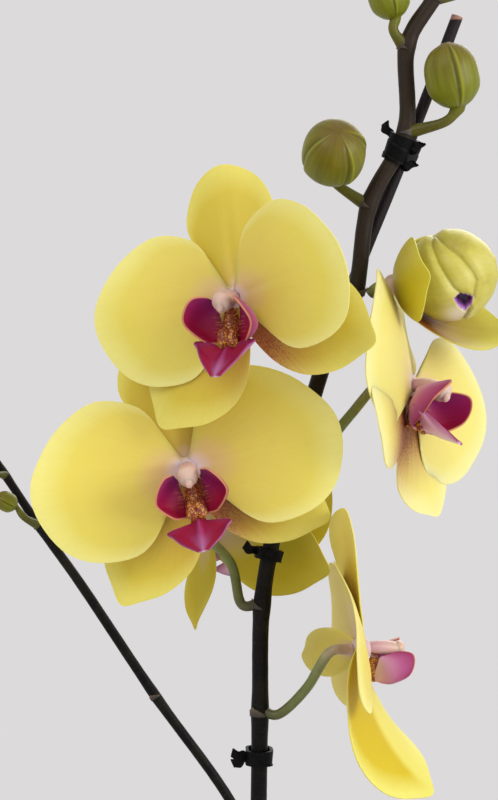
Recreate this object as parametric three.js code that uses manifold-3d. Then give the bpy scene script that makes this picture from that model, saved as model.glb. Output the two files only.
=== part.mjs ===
// Potted moth orchid: a tied flower spike with five open blooms and buds, a second
// spike, leaves, roots, bark and a plain pot. Millimetres, +Z up, the pot's base is
// centred on the origin, and -Y is the front.

import * as THREE from 'three';
import { mergeVertices } from 'three/addons/utils/BufferGeometryUtils.js';
import Module from 'manifold-3d';

const wasm = await Module();
wasm.setup();

const rad = THREE.MathUtils.degToRad;
const lerp = THREE.MathUtils.lerp;
const V = (x, y, z) => new THREE.Vector3(x, y, z);

// ---- driving dimensions ---------------------------------------------------

const GAP = 0.3; // left between touching pieces
const BLADE = 0.72; // thickness of a petal

const PETAL_LENGTH = 45.6;
const SEPAL_LENGTH = 44;
const DORSAL_LENGTH = 43;

const SPIKE_RADIUS = 2.45;
const NODE_SWELL = 1.12; // a spike's node, over its radius
const SPIKE2_RADIUS = 1.7;
const STAKE_RADIUS = 1.8;
const STALK_RADIUS = 1.5; // of a flower stalk

const POT_HEIGHT = 120;
const POT_RIM_RADIUS = 62.5;
const POT_BASE_RADIUS = 43;
const POT_WALL = 4;
const BARK_TOP = 102;

const LEAF_THICK = 2.4;

// Outline of a petal and of a sepal, in shares of its length: x runs along the
// blade from the claw, y across it. A petal's +y side is its upper one.
const PETAL_EDGE = [
  [0, 0.05], [0.1, 0.14], [0.15, 0.31], [0.27, 0.45], [0.52, 0.51], [0.77, 0.38], [0.94, 0.17], [1, 0],
  [0.97, -0.19], [0.85, -0.39], [0.66, -0.49], [0.4, -0.49], [0.24, -0.36], [0.14, -0.14], [0, -0.05],
];
const bothSides = (half) => [...half, [1, 0], ...half.map(([x, y]) => [x, -y]).reverse()];
const DORSAL_EDGE = bothSides([[0, 0.05], [0.15, 0.16], [0.38, 0.27], [0.62, 0.35], [0.83, 0.28], [0.95, 0.15]]);
const SEPAL_EDGE = bothSides([[0, 0.05], [0.15, 0.18], [0.38, 0.29], [0.6, 0.31], [0.8, 0.23], [0.93, 0.1]]);

// How each tepal stands in its flower: the turn about the flower's axis, its length,
// the cup (degrees forward of flat) and the bend of its tip (degrees, minus is back).
const TEPALS = {
  dorsal: { edge: DORSAL_EDGE, turn: 88, reach: DORSAL_LENGTH, cup: -4, bend: -8, lift: -0.8 },
  sepal_l: { edge: SEPAL_EDGE, turn: 229, reach: SEPAL_LENGTH + 1, cup: -4, bend: -8, lift: -0.8 },
  sepal_r: { edge: SEPAL_EDGE, turn: 325, reach: SEPAL_LENGTH, cup: -4, bend: -8, lift: -0.8 },
  petal_l: { edge: PETAL_EDGE, turn: 175, reach: PETAL_LENGTH, cup: 10, bend: -8, lift: 1.2, side: -1 },
  petal_r: { edge: PETAL_EDGE, turn: 3, reach: PETAL_LENGTH, cup: 10, bend: -8, lift: 1.2 },
};

// Each open bloom: the centre, the heading it faces (0 is -Y, plus is towards +X), the
// tilt upwards, the roll of the flower, its size, and the tepals that stand otherwise.
const BLOOMS = {
  a: {
    at: [-3.6, -42, 518.7], face: -22, tilt: 0, roll: 12, size: 0.9, lip: 1.08, horn: 6, lipRoll: -10,
    pose: {
      petal_r: { cup: 24, turn: 5 }, petal_l: { turn: 178, reach: 46.5 },
      sepal_l: { turn: 226, reach: 48, cup: 4, wide: 1.12 }, sepal_r: { turn: 330, reach: 46, wide: 1.15 },
    },
  },
  b: { at: [-17.6, -24, 470.4], face: -1, tilt: 0, roll: 15, size: 1, lipRoll: -2, pose: {} },
  c: {
    at: [47.1, -8, 494.4], face: 58, tilt: 0, roll: -22, size: 1, lift: 20, horn: 8,
    pose: {
      dorsal: { turn: 74, cup: -18, reach: 38, wide: 0.85 }, petal_r: { cup: 7, turn: 3, reach: 46.5, wide: 0.93 },
      petal_l: { turn: 171, cup: 13, spin: -13, wide: 1.06 },
      sepal_l: { turn: 218, cup: 20, wide: 1.25 }, sepal_r: { turn: 318, cup: 5, wide: 1.2 },
    },
  },
  d: {
    at: [33.4, -8, 416.6], face: 108, tilt: 6, roll: 22, size: 0.97, lip: 0.8, lift: 60,
    pose: {
      dorsal: { turn: 88, cup: -9, bend: 2, spin: -2, wide: 0.75, reach: 47.5 },
      petal_l: { turn: 138, cup: -19, spin: 1 }, petal_r: { turn: 341, cup: 10.6 },
      sepal_l: { turn: 224, cup: -15, bend: 56, reach: 51, spin: 28, twist: 40, wide: 1.08 },
      sepal_r: { turn: 330, cup: -20, reach: 27, wide: 0.9 },
    },
  },
  e: {
    at: [-12.2, 24, 450], face: 163, tilt: 0, roll: -20, size: 0.88, lip: 0.8,
    pose: {
      petal_r: { turn: 20 }, sepal_l: { turn: 217, reach: 48 },
      sepal_r: { turn: 297, reach: 36, wide: 0.6, spin: 30 },
    },
  },
};

// The half-open bloom at the right.
const HALF_OPEN = { at: [43.5, -4, 524.3], face: 82, tilt: 6, roll: 0 };

// Main spike, from the crown to its tip: x, y, z, and 1 where a node swells.
const SPIKE = [
  [3, -13, 88, 0], [3.2, -13.6, 128, 0], [4, -12, 170, 1], [3, -9, 215, 0], [2.2, -6, 262, 1],
  [2.4, -3, 310, 0], [2.7, 0, 352, 0], [3.3, 0, 396.4, 1], [3.9, 0, 428.5, 1], [8.6, 0, 455, 1],
  [15, 0, 476.5, 1], [24.3, 0, 506.5, 1], [32, 0, 523, 1], [36, 0, 548.5, 1], [46.9, 0, 570.6, 1],
  [47.4, 0, 596, 1], [55.6, 0, 611, 1], [60, 0, 624, 1], [61.6, 0, 636, 0], [61.4, 0, 642, 0],
];
const STAKE = [
  [12, 17, 84], [9, 12, 200], [4.5, 5.2, 330], [2.9, 4.9, 385], [3.6, 4.9, 424], [5.9, 4.9, 444],
  [12.3, 4.9, 469], [20.7, 4.9, 496], [30.6, 4.9, 523.6], [47.3, 4.9, 565], [63, 4.9, 606],
];
const SPIKE2 = [
  [-1, 13, 88, 0], [-0.6, 14, 120, 0], [2, 22, 160, 1], [12, 38, 215, 0], [18, 58, 275, 1], [10, 72, 322, 0],
  [-6.5, 80, 354, 0], [-32, 83, 389, 1], [-57, 85, 426, 0], [-72.3, 86, 447.2, 1], [-83.6, 86, 464.3, 1],
  [-99, 84, 488, 1], [-110, 80, 513, 1], [-116, 76, 533, 0],
];

// Closed buds: the number of the node they grow from, the bud's middle, axis, radius, length.
const BUDS = {
  bud_1: { node: 13, mid: [25.1, -9, 563.2], axis: [0.09, -0.89, 0.5], radius: 9.4, length: 20.5 },
  bud_2: { node: 14, mid: [60.2, -6.5, 586.4], axis: [-0.22, -0.15, 1], radius: 8, length: 19.5 },
  bud_3: { node: 15, mid: [41.6, -2, 611.5], axis: [-0.3, 0, 1], radius: 6.2, length: 15.5 },
  bud_4: { node: 16, mid: [66, 1, 621], axis: [0.2, 0, 1], radius: 4.8, length: 12 },
  bud_5: { node: 17, mid: [54, 0, 633.5], axis: [-0.3, 0, 1], radius: 3.4, length: 9 },
};
const BUDS2 = {
  spike2_bud_1: { node: 9, mid: [-82.5, 79.5, 455.5], axis: [-0.8, -0.3, 0.45], radius: 3.4, length: 8 },
  spike2_bud_2: { node: 10, mid: [-89.5, 79, 468.5], axis: [-0.7, -0.4, 0.7], radius: 3, length: 8 },
  spike2_bud_3: { node: 11, mid: [-94, 78, 496], axis: [0.3, -0.3, 1], radius: 2.6, length: 7 },
};

// Ties: the height they sit at and their own height along the spike.
const TIES = { tie_top: [565.4, 8], tie_middle: [443.6, 3.2], tie_low: [382.8, 4.4] };

// Leaves: heading, length, half width, height of the base, rise at the base, droop.
const LEAVES = {
  leaf_1: { heading: 4, length: 225, half: 40, base: 114, rise: 22, droop: -52 },
  leaf_2: { heading: 183, length: 232, half: 41, base: 117, rise: 24, droop: -48 },
  leaf_3: { heading: -8, length: 200, half: 38, base: 123, rise: 42, droop: -30 },
  leaf_4: { heading: 172, length: 195, half: 37, base: 126, rise: 45, droop: -26 },
  leaf_5: { heading: 8, length: 160, half: 31, base: 133, rise: 60, droop: -8 },
  leaf_6: { heading: 186, length: 120, half: 23, base: 136, rise: 66, droop: 20 },
};

// Aerial roots: points from the crown down into the bark.
const ROOTS = {
  root_1: [[-6.8, -7.7, 109], [-17, -18, 117], [-27, -25, 113], [-32, -28, 102], [-32, -28, 88]],
  root_2: [[7.3, -7.3, 107], [18, -19, 114], [25, -29, 111], [27, -35, 101], [27, -35, 88]],
  root_3: [[-7.3, 7.3, 108], [-18, 18, 116], [-24, 29, 111], [-26, 35, 101], [-26, 35, 88]],
};
const ROOT_RADIUS = 2.3;

const CROWN_RADIUS = 8.5;
const CHIP_COUNT = 18;
const CHIP_SEED = 7;

// ---- finishes -------------------------------------------------------------

const FINISH = {
  petal: [0xe8db5f, 0.5],
  lip: [0xa3174f, 0.42],
  column: [0xf0dde2, 0.45],
  stalk: [0x8b9350, 0.5],
  stem: [0x3c2f27, 0.55],
  bud: [0x8c9135, 0.5],
  leaf: [0x3f6a2c, 0.38],
  root: [0x9fa58c, 0.7],
  stake: [0x45302a, 0.65],
  tape: [0x1d1e20, 0.5],
  bark: [0x5a3b26, 0.9],
  pot: [0xe9e6e0, 0.35],
};

function part(name, finish, geometry) {
  const [color, roughness] = FINISH[finish];
  const material = new THREE.MeshStandardMaterial({ color, roughness, metalness: 0 });
  const mesh = new THREE.Mesh(geometry, material);
  mesh.name = name;
  return mesh;
}

// ---- closed solids from point grids ---------------------------------------

function volumeOf(points, index) {
  let sum = 0;
  for (let i = 0; i < index.length; i += 3) {
    const [a, b, c] = [points[index[i]], points[index[i + 1]], points[index[i + 2]]];
    sum += a.dot(b.clone().cross(c));
  }
  return sum / 6;
}

// Welds equal points, drops collapsed triangles and turns the body's faces outwards.
function closedBody(triangles) {
  const seen = new Map();
  const points = [];
  const number = (p) => {
    const key = [p.x, p.y, p.z].map((v) => Math.round(v * 1e4)).join();
    if (!seen.has(key)) {
      seen.set(key, points.length);
      points.push(p);
    }
    return seen.get(key);
  };
  const index = [];
  for (const corners of triangles) {
    const [a, b, c] = corners.map(number);
    if (a !== b && b !== c && a !== c) index.push(a, b, c);
  }
  if (volumeOf(points, index) < 0) index.reverse();
  const geometry = new THREE.BufferGeometry().setFromPoints(points);
  geometry.setIndex(index);
  return geometry;
}

const quad = (a, b, c, d) => [[a, b, c], [a, c, d]];

// A body turned about the z axis from its closed profile of [radius, height].
function turned(profile, segments) {
  const lathe = new THREE.LatheGeometry(profile.map(([r, z]) => new THREE.Vector2(r, z)), segments)
    .rotateX(Math.PI / 2).toNonIndexed();
  const position = lathe.getAttribute('position');
  const corner = (i) => new THREE.Vector3().fromBufferAttribute(position, i);
  const faces = Array.from({ length: position.count / 3 }, (_, i) => [0, 1, 2].map((k) => corner(3 * i + k)));
  return closedBody(faces);
}

// A plate between two like grids of points, walled round its edge.
function plate(front, back) {
  const rows = front.length - 1;
  const cols = front[0].length - 1;
  const faces = [];
  for (let i = 0; i < rows; i++) {
    for (let j = 0; j < cols; j++) {
      faces.push(...quad(front[i][j], front[i + 1][j], front[i + 1][j + 1], front[i][j + 1]));
      faces.push(...quad(back[i][j], back[i][j + 1], back[i + 1][j + 1], back[i + 1][j]));
    }
    faces.push(...quad(front[i][0], back[i][0], back[i + 1][0], front[i + 1][0]));
    faces.push(...quad(front[i][cols], front[i + 1][cols], back[i + 1][cols], back[i][cols]));
  }
  for (let j = 0; j < cols; j++) {
    faces.push(...quad(front[0][j], front[0][j + 1], back[0][j + 1], back[0][j]));
    faces.push(...quad(front[rows][j], back[rows][j], back[rows][j + 1], front[rows][j + 1]));
  }
  return closedBody(faces);
}

// Thickens a grid of middle points evenly to both sides.
function blade(grid, thickness) {
  const rows = grid.length - 1;
  const cols = grid[0].length - 1;
  const shifted = (sign) => grid.map((row, i) => row.map((p, j) => {
    const along = grid[Math.min(i + 1, rows)][j].clone().sub(grid[Math.max(i - 1, 0)][j]);
    const across = row[Math.min(j + 1, cols)].clone().sub(row[Math.max(j - 1, 0)]);
    const normal = along.cross(across).normalize();
    return p.clone().addScaledVector(normal, sign * thickness / 2);
  }));
  return plate(shifted(1), shifted(-1));
}

// A solid skinned over closed rings of points, its two ends capped.
function ringBody(rings) {
  const sides = rings[0].length;
  const faces = [];
  for (let i = 0; i < rings.length - 1; i++) {
    for (let j = 0; j < sides; j++) {
      const k = (j + 1) % sides;
      faces.push(...quad(rings[i][j], rings[i][k], rings[i + 1][k], rings[i + 1][j]));
    }
  }
  for (const [ring, turned] of [[rings[0], true], [rings.at(-1), false]]) {
    const middle = ring.reduce((sum, p) => sum.add(p), V(0, 0, 0)).divideScalar(sides);
    for (let j = 0; j < sides; j++) {
      const edge = [ring[j], ring[(j + 1) % sides]];
      faces.push(turned ? [middle, edge[1], edge[0]] : [middle, edge[0], edge[1]]);
    }
  }
  return closedBody(faces);
}

// A round stem along stations of { p, r }; lobes gives the radius a seamed outline.
function stem(stations, sides, lobes = () => 1) {
  const last = stations.length - 1;
  let normal = V(0.31, -0.9, 0.2);
  const rings = stations.map(({ p, r }, i) => {
    const before = stations[Math.max(i - 1, 0)].p;
    const after = stations[Math.min(i + 1, last)].p;
    const tangent = after.clone().sub(before).normalize();
    normal = normal.clone().addScaledVector(tangent, -normal.dot(tangent)).normalize();
    const binormal = tangent.clone().cross(normal);
    return Array.from({ length: sides }, (_, j) => {
      const angle = 2 * Math.PI * j / sides;
      const reach = r * lobes(angle, r);
      return p.clone()
        .addScaledVector(normal, reach * Math.cos(angle))
        .addScaledVector(binormal, reach * Math.sin(angle));
    });
  });
  return ringBody(rings);
}

const smoothPath = (points) => new THREE.CatmullRomCurve3(points, false, 'catmullrom', 0.5);

function toSolid(geometry) {
  const bare = new THREE.BufferGeometry();
  bare.setAttribute('position', geometry.getAttribute('position').clone());
  if (geometry.index) bare.setIndex(geometry.index.clone());
  const welded = mergeVertices(bare, 1e-4);
  return new wasm.Manifold(new wasm.Mesh({
    numProp: 3,
    vertProperties: new Float32Array(welded.attributes.position.array),
    triVerts: new Uint32Array(welded.index.array),
  }));
}

function toGeometry(solid) {
  const mesh = solid.getMesh();
  const geometry = new THREE.BufferGeometry();
  geometry.setAttribute('position', new THREE.BufferAttribute(mesh.vertProperties, 3));
  geometry.setIndex(new THREE.BufferAttribute(mesh.triVerts, 1));
  return geometry;
}

// The body without the pockets that its pieces shut in between them.
function mainBody(solid) {
  const [largest] = solid.decompose().sort((a, b) => b.volume() - a.volume());
  return toGeometry(largest);
}

const joined = (geometries) => mainBody(geometries.map(toSolid).reduce((sum, solid) => sum.add(solid)));

// ---- blooms ---------------------------------------------------------------

// Share of the blade's length -> [distance out, distance forward] on its bent midrib.
function midrib(share, reach, cup, bend) {
  if (Math.abs(bend) < 1e-4) return [share * reach * Math.cos(cup), share * reach * Math.sin(cup)];
  const radius = reach / bend;
  const turned = cup + bend * share;
  return [radius * (Math.sin(turned) - Math.sin(cup)), radius * (Math.cos(cup) - Math.cos(turned))];
}

// A point of a tepal in its flower's own frame: x right, y up, z towards the viewer.
function tepalPoint(outline, pose, s, t) {
  const edge = outline.getPoint(t);
  const share = edge.x * s;
  const b = edge.y * s * pose.reach * (pose.wide ?? 1);
  const cup = rad(pose.cup);
  const bend = rad(pose.bend);
  const [out, up] = midrib(share, pose.reach, cup, bend);
  const curl = (pose.cross ?? -0.1) * b * b / (pose.reach * 0.4)
    + (pose.wave ?? 0.9) * s ** 3 * Math.sin(5 * Math.PI * t + (pose.phase ?? 0.6));
  const twist = rad((pose.spin ?? 0) + (pose.twist ?? 0) * share);
  const wide = b * Math.cos(twist) - curl * Math.sin(twist);
  const high = b * Math.sin(twist) + curl * Math.cos(twist);
  const lean = cup + bend * share;
  const p = V(out - high * Math.sin(lean), (pose.side ?? 1) * wide, up + high * Math.cos(lean) + pose.lift);
  return p.applyAxisAngle(V(0, 0, 1), rad(pose.turn));
}

function tepal(pose, rings, sectors) {
  const outline = smoothPath(pose.edge.map(([x, y]) => V(x, y, 0)));
  const grid = Array.from({ length: rings + 1 }, (_, i) => {
    const s = lerp(0.06, 1, i / rings);
    return Array.from({ length: sectors + 1 }, (_, j) => tepalPoint(outline, pose, s, j / sectors));
  });
  return blade(grid, BLADE);
}

const receptacle = () => stem(
  [[-3, 1.9], [-1.6, 3.1], [1, 3.3], [2.1, 2.4]].map(([z, r]) => ({ p: V(0, 0, z), r })),
  8,
);

function tepals(bloom) {
  const blades = Object.entries(TEPALS).map(([name, pose]) => {
    const sectors = pose.edge === PETAL_EDGE ? 12 : 9;
    return tepal({ ...pose, ...(bloom.pose[name] ?? {}) }, 2, sectors);
  });
  return joined([receptacle(), ...blades]);
}

// The root and the free rim of a side lobe, from its foot by the callus to its top.
const LOBE_ROOT = [[2, -13, 4.5], [2.4, -9.5, 4.5], [3.3, -5, 5], [3.4, -2.6, 5.4]];
const LOBE_RIM = [
  [2.5, -13.6, 6], [6.2, -13, 9.5], [9.4, -8.8, 14.5], [8.6, -4.4, 17.5], [5.8, -1.2, 17.5], [4, -0.7, 12.5], [3.6, -1.6, 8],
];

// One side lobe of the lip: a paddle that swells outwards and then curls forward.
function sideLobe(side) {
  const [root, rim] = [LOBE_ROOT, LOBE_RIM].map((points) => smoothPath(points.map((p) => V(...p))));
  const grid = Array.from({ length: 3 }, (_, i) => Array.from({ length: 7 }, (_, j) => {
    const [u, v] = [i / 2, j / 6];
    const [a, c] = [root.getPoint(v), rim.getPoint(v)];
    const swell = V(c.x + 2.8 * Math.sin(Math.PI * v), lerp(a.y, c.y, 0.4), lerp(a.z, c.z, 0.16));
    const p = a.multiplyScalar((1 - u) ** 2).addScaledVector(swell, 2 * u * (1 - u)).addScaledVector(c, u * u);
    p.x *= side;
    return p;
  }));
  return blade(grid, BLADE + 0.1);
}

// The middle lobe: a strap forward and down that widens to two wing tips above its end.
function middleLobe(horn) {
  const width = smoothPath([[0, 2.2], [0.25, 2.3], [0.42, 4.8], [0.58, 9.2], [0.7, 8], [0.85, 5.8], [1, 1.6]]
    .map(([s, w]) => V(s, w, 0)));
  const grid = Array.from({ length: 7 }, (_, i) => {
    const { x: s, y: w } = width.getPoint(i / 6);
    const raised = horn * Math.max(0, Math.sin(Math.PI * (s - 0.25) / 0.75));
    return [-1, -0.5, 0, 0.5, 1].map((t) => V(w * t, -13.2 - 9.9 * s + raised * t * t, 4.6 + 13 * s - 0.4 * raised * t * t));
  });
  return blade(grid, BLADE + 0.2);
}

// The lip's foot under the column and the knob at its end.
const callus = () => joined([
  [[-3.6, 1.3, 4.9], [-13.6, 1.3, 4.9]],
  [[-9.2, 1, 7], [-10.6, 2.7, 7], [-13.4, 2.8, 7], [-15, 1, 7]],
].map((stations) => stem(stations.map(([y, r, z]) => ({ p: V(0, y, z), r })), 6)));

// The whole lip; the middle lobe hinges up by lift degrees, and roll turns it all.
function lip({ lip: size = 1, lift = 0, horn = 2.4, lipRoll = 0 }) {
  const hinged = middleLobe(horn).translate(0, 13.2, -4.6).rotateX(-rad(lift)).translate(0, -13.2, 4.6);
  return joined([callus(), sideLobe(-1), sideLobe(1), hinged])
    .translate(0, 3, -3.5).scale(size, size, size).translate(0, -3, 3.5).rotateZ(rad(lipRoll));
}

const column = ({ lip: size = 1, lipRoll = 0 }) => stem(
  [[2.1 + GAP, 2.1], [5, 2.6], [8, 2.9], [11, 3.05], [13, 2.6], [14, 1.1]]
    .map(([z, r]) => ({ p: V(0, -0.018 * z * z, z), r: r * Math.min(size, 1) })),
  7,
).rotateZ(rad(lipRoll));

// Places a flower's own frame in the plant's.
function flowerFrame({ at, face, tilt, roll, size = 1 }) {
  const [turn, up] = [rad(face), rad(tilt)];
  const z = V(Math.sin(turn) * Math.cos(up), -Math.cos(turn) * Math.cos(up), Math.sin(up));
  const x = V(Math.cos(turn), Math.sin(turn), 0);
  const y = z.clone().cross(x);
  const rolled = new THREE.Matrix4().makeRotationZ(rad(roll));
  return new THREE.Matrix4().makeBasis(x, y, z).multiply(rolled)
    .scale(V(size, size, size)).setPosition(V(...at));
}

const MAIN = { points: SPIKE, radius: SPIKE_RADIUS, taperFrom: 600 };
const SECOND = { points: SPIKE2, radius: SPIKE2_RADIUS, taperFrom: 420 };

function spikeRadius({ points, radius, taperFrom }, height) {
  return radius * lerp(1, 0.5, THREE.MathUtils.smoothstep(height, taperFrom, points.at(-1)[2]));
}

// Where a stalk leaves a spike: just off the skin of a node, on the side of a point.
function leaving(spike, node, towards) {
  const [before, at, after] = [-1, 0, 1].map((k) => V(...spike.points[node + k].slice(0, 3)));
  const along = after.sub(before).normalize();
  const away = towards.clone().sub(at);
  away.addScaledVector(along, -away.dot(along)).normalize();
  return { away, start: at.clone().addScaledVector(away, spikeRadius(spike, at.z) * NODE_SWELL + GAP + 0.4) };
}

// A flower stalk from its node, sagging a little, to the back of its flower.
function flowerStalk({ node, sag, side }, back, backAxis) {
  const { start, away } = leaving(MAIN, node, side ? V(...side) : back);
  const span = start.distanceTo(back);
  const foot = start.clone().addScaledVector(away, Math.min(3, 0.2 * span));
  const bend = start.clone().lerp(back, 0.45).add(V(0, 0, -sag));
  const before = back.clone().addScaledVector(backAxis, -Math.min(7, 0.3 * span));
  // A stalk of a few millimetres has no room for the sag and runs almost straight.
  const short = span < 8;
  const path = smoothPath(short ? [foot, before, back] : [start, foot, bend, before, back]);
  const last = short ? 3 : 8;
  const stations = Array.from({ length: last + 1 }, (_, i) => {
    const swell = i === 0 || i === last ? 1.2 : 1;
    return { p: path.getPoint(i / last), r: STALK_RADIUS * swell };
  });
  return stem(stations, 7);
}

const STALKS = {
  a: { node: 11, sag: 3 },
  b: { node: 9, sag: 3 },
  c: { node: 10, sag: -1 },
  d: { node: 7, sag: 1 },
  e: { node: 8, sag: -2, side: [-60, 6, 428.5] },
  half_open: { node: 12, sag: 0 },
};

function bloomParts(name, bloom) {
  const frame = flowerFrame(bloom);
  const back = V(0, 0, -3.2 - GAP).applyMatrix4(frame);
  const axis = V(0, 0, 1).transformDirection(frame);
  return [
    part(`bloom_${name}_tepals`, 'petal', tepals(bloom).applyMatrix4(frame)),
    part(`bloom_${name}_lip`, 'lip', lip(bloom).applyMatrix4(frame)),
    part(`bloom_${name}_column`, 'column', column(bloom).applyMatrix4(frame)),
    part(`bloom_${name}_stalk`, 'stalk', flowerStalk(STALKS[name], back, axis)),
  ];
}

// ---- half-open bloom ------------------------------------------------------

// Closed petals: a ball with three soft seams and a blunt beak.
function petalBall() {
  const profile = [[2.1 + GAP, 2], [5.6, 7.4], [11, 11.8], [17, 12.9], [23, 11.4], [28, 7], [30.6, 2]];
  const stations = profile.map(([z, r]) => ({ p: V(0, 0.06 * z, z), r }));
  return stem(stations, 15, (angle) => 1 - 0.07 * Math.abs(Math.sin(1.5 * angle)) ** 6);
}

function openSepals() {
  const base = { edge: SEPAL_EDGE, lift: 0, wave: 0.5 };
  const near = { ...base, turn: 180, reach: 30, cup: 0, bend: 46, cross: 0.3, wide: 1.3 };
  const low = { ...base, turn: 305, reach: 42, cup: 26, bend: 64, cross: 0.25, lift: -1, wide: 1.2 };
  const far = { ...base, turn: 24, reach: 30, cup: 10, bend: 70, cross: 0.3, lift: -0.5 };
  const blades = [near, low, far].map((pose) => tepal(pose, 2, 8));
  return joined([receptacle(), ...blades]);
}

function halfOpenParts() {
  const frame = flowerFrame(HALF_OPEN);
  const back = V(0, 0, -3.2 - GAP).applyMatrix4(frame);
  const axis = V(0, 0, 1).transformDirection(frame);
  return [
    part('half_open_petals', 'petal', petalBall().applyMatrix4(frame)),
    part('half_open_sepals', 'bud', openSepals().applyMatrix4(frame)),
    part('half_open_stalk', 'stalk', flowerStalk(STALKS.half_open, back, axis)),
  ];
}

// ---- buds, spikes, stake and ties -----------------------------------------

// A closed bud and its stalk in one body; three seams run over the bud.
function bud({ node, mid, axis, radius, length }, spike) {
  const up = V(...axis).normalize();
  const foot = V(...mid).addScaledVector(up, -length / 2);
  const { start, away } = leaving(spike, node, foot);
  start.addScaledVector(away, 0.2);
  const span = start.distanceTo(foot);
  const bend = start.clone().lerp(foot, 0.5).addScaledVector(away, 0.12 * span + Math.min(1.5, 0.15 * span));
  const path = smoothPath([start, bend, foot]);
  const slim = Math.min(STALK_RADIUS, radius * 0.35);
  const stalk = [0, 0.33, 0.66].map((t) => ({ p: path.getPoint(t), r: slim }));
  const profile = [[0, 0.26], [0.08, 0.6], [0.25, 0.93], [0.48, 1], [0.72, 0.92], [0.9, 0.62], [1, 0.14]];
  const body = profile.map(([s, r]) => ({ p: foot.clone().addScaledVector(up, s * length), r: r * radius }));
  const seam = (angle, r) => (r > slim * 1.4 ? 1 - 0.08 * Math.abs(Math.cos(1.5 * angle)) ** 5 : 1);
  return stem([...stalk, ...body], radius > 5 ? 9 : 6, seam);
}

// A spike through its points, with a swelling at each node and a tapered tip.
function spike(shape) {
  const { points, radius } = shape;
  const path = smoothPath(points.map(([x, y, z]) => V(x, y, z)));
  const last = points.length - 1;
  const stations = points.flatMap(([, , z, node], i) => {
    const r = spikeRadius(shape, z);
    const at = (shift, grow) => ({ p: path.getPoint((i + shift) / last), r: r * grow });
    if (i === last) return [at(-0.4, 0.9), at(0, 0.5)];
    if (i === 0) return [at(0, 1.05), at(0.5, 1)];
    return node ? [at(-0.16, 1), at(0, NODE_SWELL), at(0.14, 1)] : [at(0, 1), at(0.5, 1)];
  });
  return stem(stations, radius > 2 ? 8 : 7);
}

function stake() {
  const path = smoothPath(STAKE.map((p) => V(...p)));
  const count = 12;
  const stations = Array.from({ length: count + 1 }, (_, i) => ({ p: path.getPoint(i / count), r: STAKE_RADIUS }));
  return stem(stations, 8);
}

// Where a path through points crosses a height, and which way it runs there.
function crossing(points, height) {
  const path = smoothPath(points.map(([x, y, z]) => V(x, y, z)));
  let [low, high] = [0, 1];
  for (let i = 0; i < 40; i++) {
    const middle = (low + high) / 2;
    if (path.getPoint(middle).z < height) low = middle;
    else high = middle;
  }
  return { p: path.getPoint(low), tangent: path.getTangent(low) };
}

// The stadium round two circles of the given radius, spread apart along y.
function stadium(spread, radius, Kind) {
  const shape = new Kind();
  shape.absarc(0, -spread / 2, radius, Math.PI, 2 * Math.PI, false);
  shape.absarc(0, spread / 2, radius, 0, Math.PI, false);
  shape.closePath();
  return shape;
}

// Tape wound round spike and stake, with torn ends that stand off.
function tie(height, wide, flaps) {
  const onSpike = crossing(SPIKE, height);
  const onStake = crossing(STAKE, height);
  const apart = onStake.p.clone().sub(onSpike.p);
  const inner = SPIKE_RADIUS + 1.05;
  const shape = stadium(apart.length(), inner + 1.1, THREE.Shape);
  shape.holes.push(stadium(apart.length(), inner, THREE.Path));
  const band = new THREE.ExtrudeGeometry(shape, { depth: wide, bevelEnabled: false, curveSegments: 5 });
  band.translate(0, 0, -wide / 2);
  const torn = flaps.map(([x, z, turn]) => {
    const flap = new THREE.BoxGeometry(5.4, 2.6, 0.9, 1, 1, 1);
    flap.rotateY(rad(turn));
    return flap.translate(x, -apart.length() / 2, z);
  });
  const y = apart.clone().normalize();
  const z = onSpike.tangent.clone().addScaledVector(y, -onSpike.tangent.dot(y)).normalize();
  const x = y.clone().cross(z);
  const place = new THREE.Matrix4().makeBasis(x, y, z)
    .setPosition(onSpike.p.clone().lerp(onStake.p, 0.5));
  return joined([band, ...torn]).applyMatrix4(place);
}

// ---- leaves, crown, roots, bark and pot -----------------------------------

const CROWN = [[84, 7], [96, CROWN_RADIUS], [120, CROWN_RADIUS], [140, 6.4], [147, 4.4]];

function crownRadius(height) {
  const above = CROWN.findIndex(([z]) => z > height);
  const [[z0, r0], [z1, r1]] = [CROWN[above - 1], CROWN[above]];
  return lerp(r0, r1, (height - z0) / (z1 - z0));
}

// A thick strap leaf: keeled along the middle, arching up and then over.
function leaf({ heading, length, half, base, rise, droop }) {
  const width = smoothPath([[0, 0.2], [0.12, 0.36], [0.35, 0.82], [0.6, 1], [0.82, 0.82], [0.95, 0.42], [1, 0.08]]
    .map(([s, w]) => V(s, w, 0)));
  const steps = 8;
  const start = crownRadius(base) + GAP + LEAF_THICK / 2 * Math.sin(rad(rise)) + 0.4;
  const grid = Array.from({ length: steps + 1 }, (_, i) => {
    const { x: s, y: w } = width.getPoint(i / steps);
    const [out, up] = midrib(s, length, rad(rise), rad(droop - rise));
    const lean = rad(lerp(rise, droop, s));
    return [-1, -0.62, 0, 0.62, 1].map((t) => {
      const raised = (0.34 * half * w * Math.abs(t) ** 1.4) * lerp(1.2, 0.45, s);
      return V(start + out - raised * Math.sin(lean), half * w * t, base + up + raised * Math.cos(lean));
    });
  });
  return blade(grid, LEAF_THICK).rotateZ(rad(heading));
}

const crown = () => stem(CROWN.map(([z, r]) => ({ p: V(0, 0, z), r })), 12);

function root(points) {
  const path = smoothPath(points.map((p) => V(...p)));
  const stations = Array.from({ length: 8 }, (_, i) => ({ p: path.getPoint(i / 7), r: ROOT_RADIUS }));
  return stem(stations, 7);
}

function chip(random) {
  const box = new THREE.BoxGeometry(7 + 9 * random(), 5 + 6 * random(), 3 + 3 * random());
  box.rotateX(1.1 * (random() - 0.5)).rotateY(1.1 * (random() - 0.5)).rotateZ(6.3 * random());
  return box;
}

function seeded(seed) {
  let state = seed;
  return () => {
    state = (state * 1664525 + 1013904223) % 4294967296;
    return state / 4294967296;
  };
}

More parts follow.
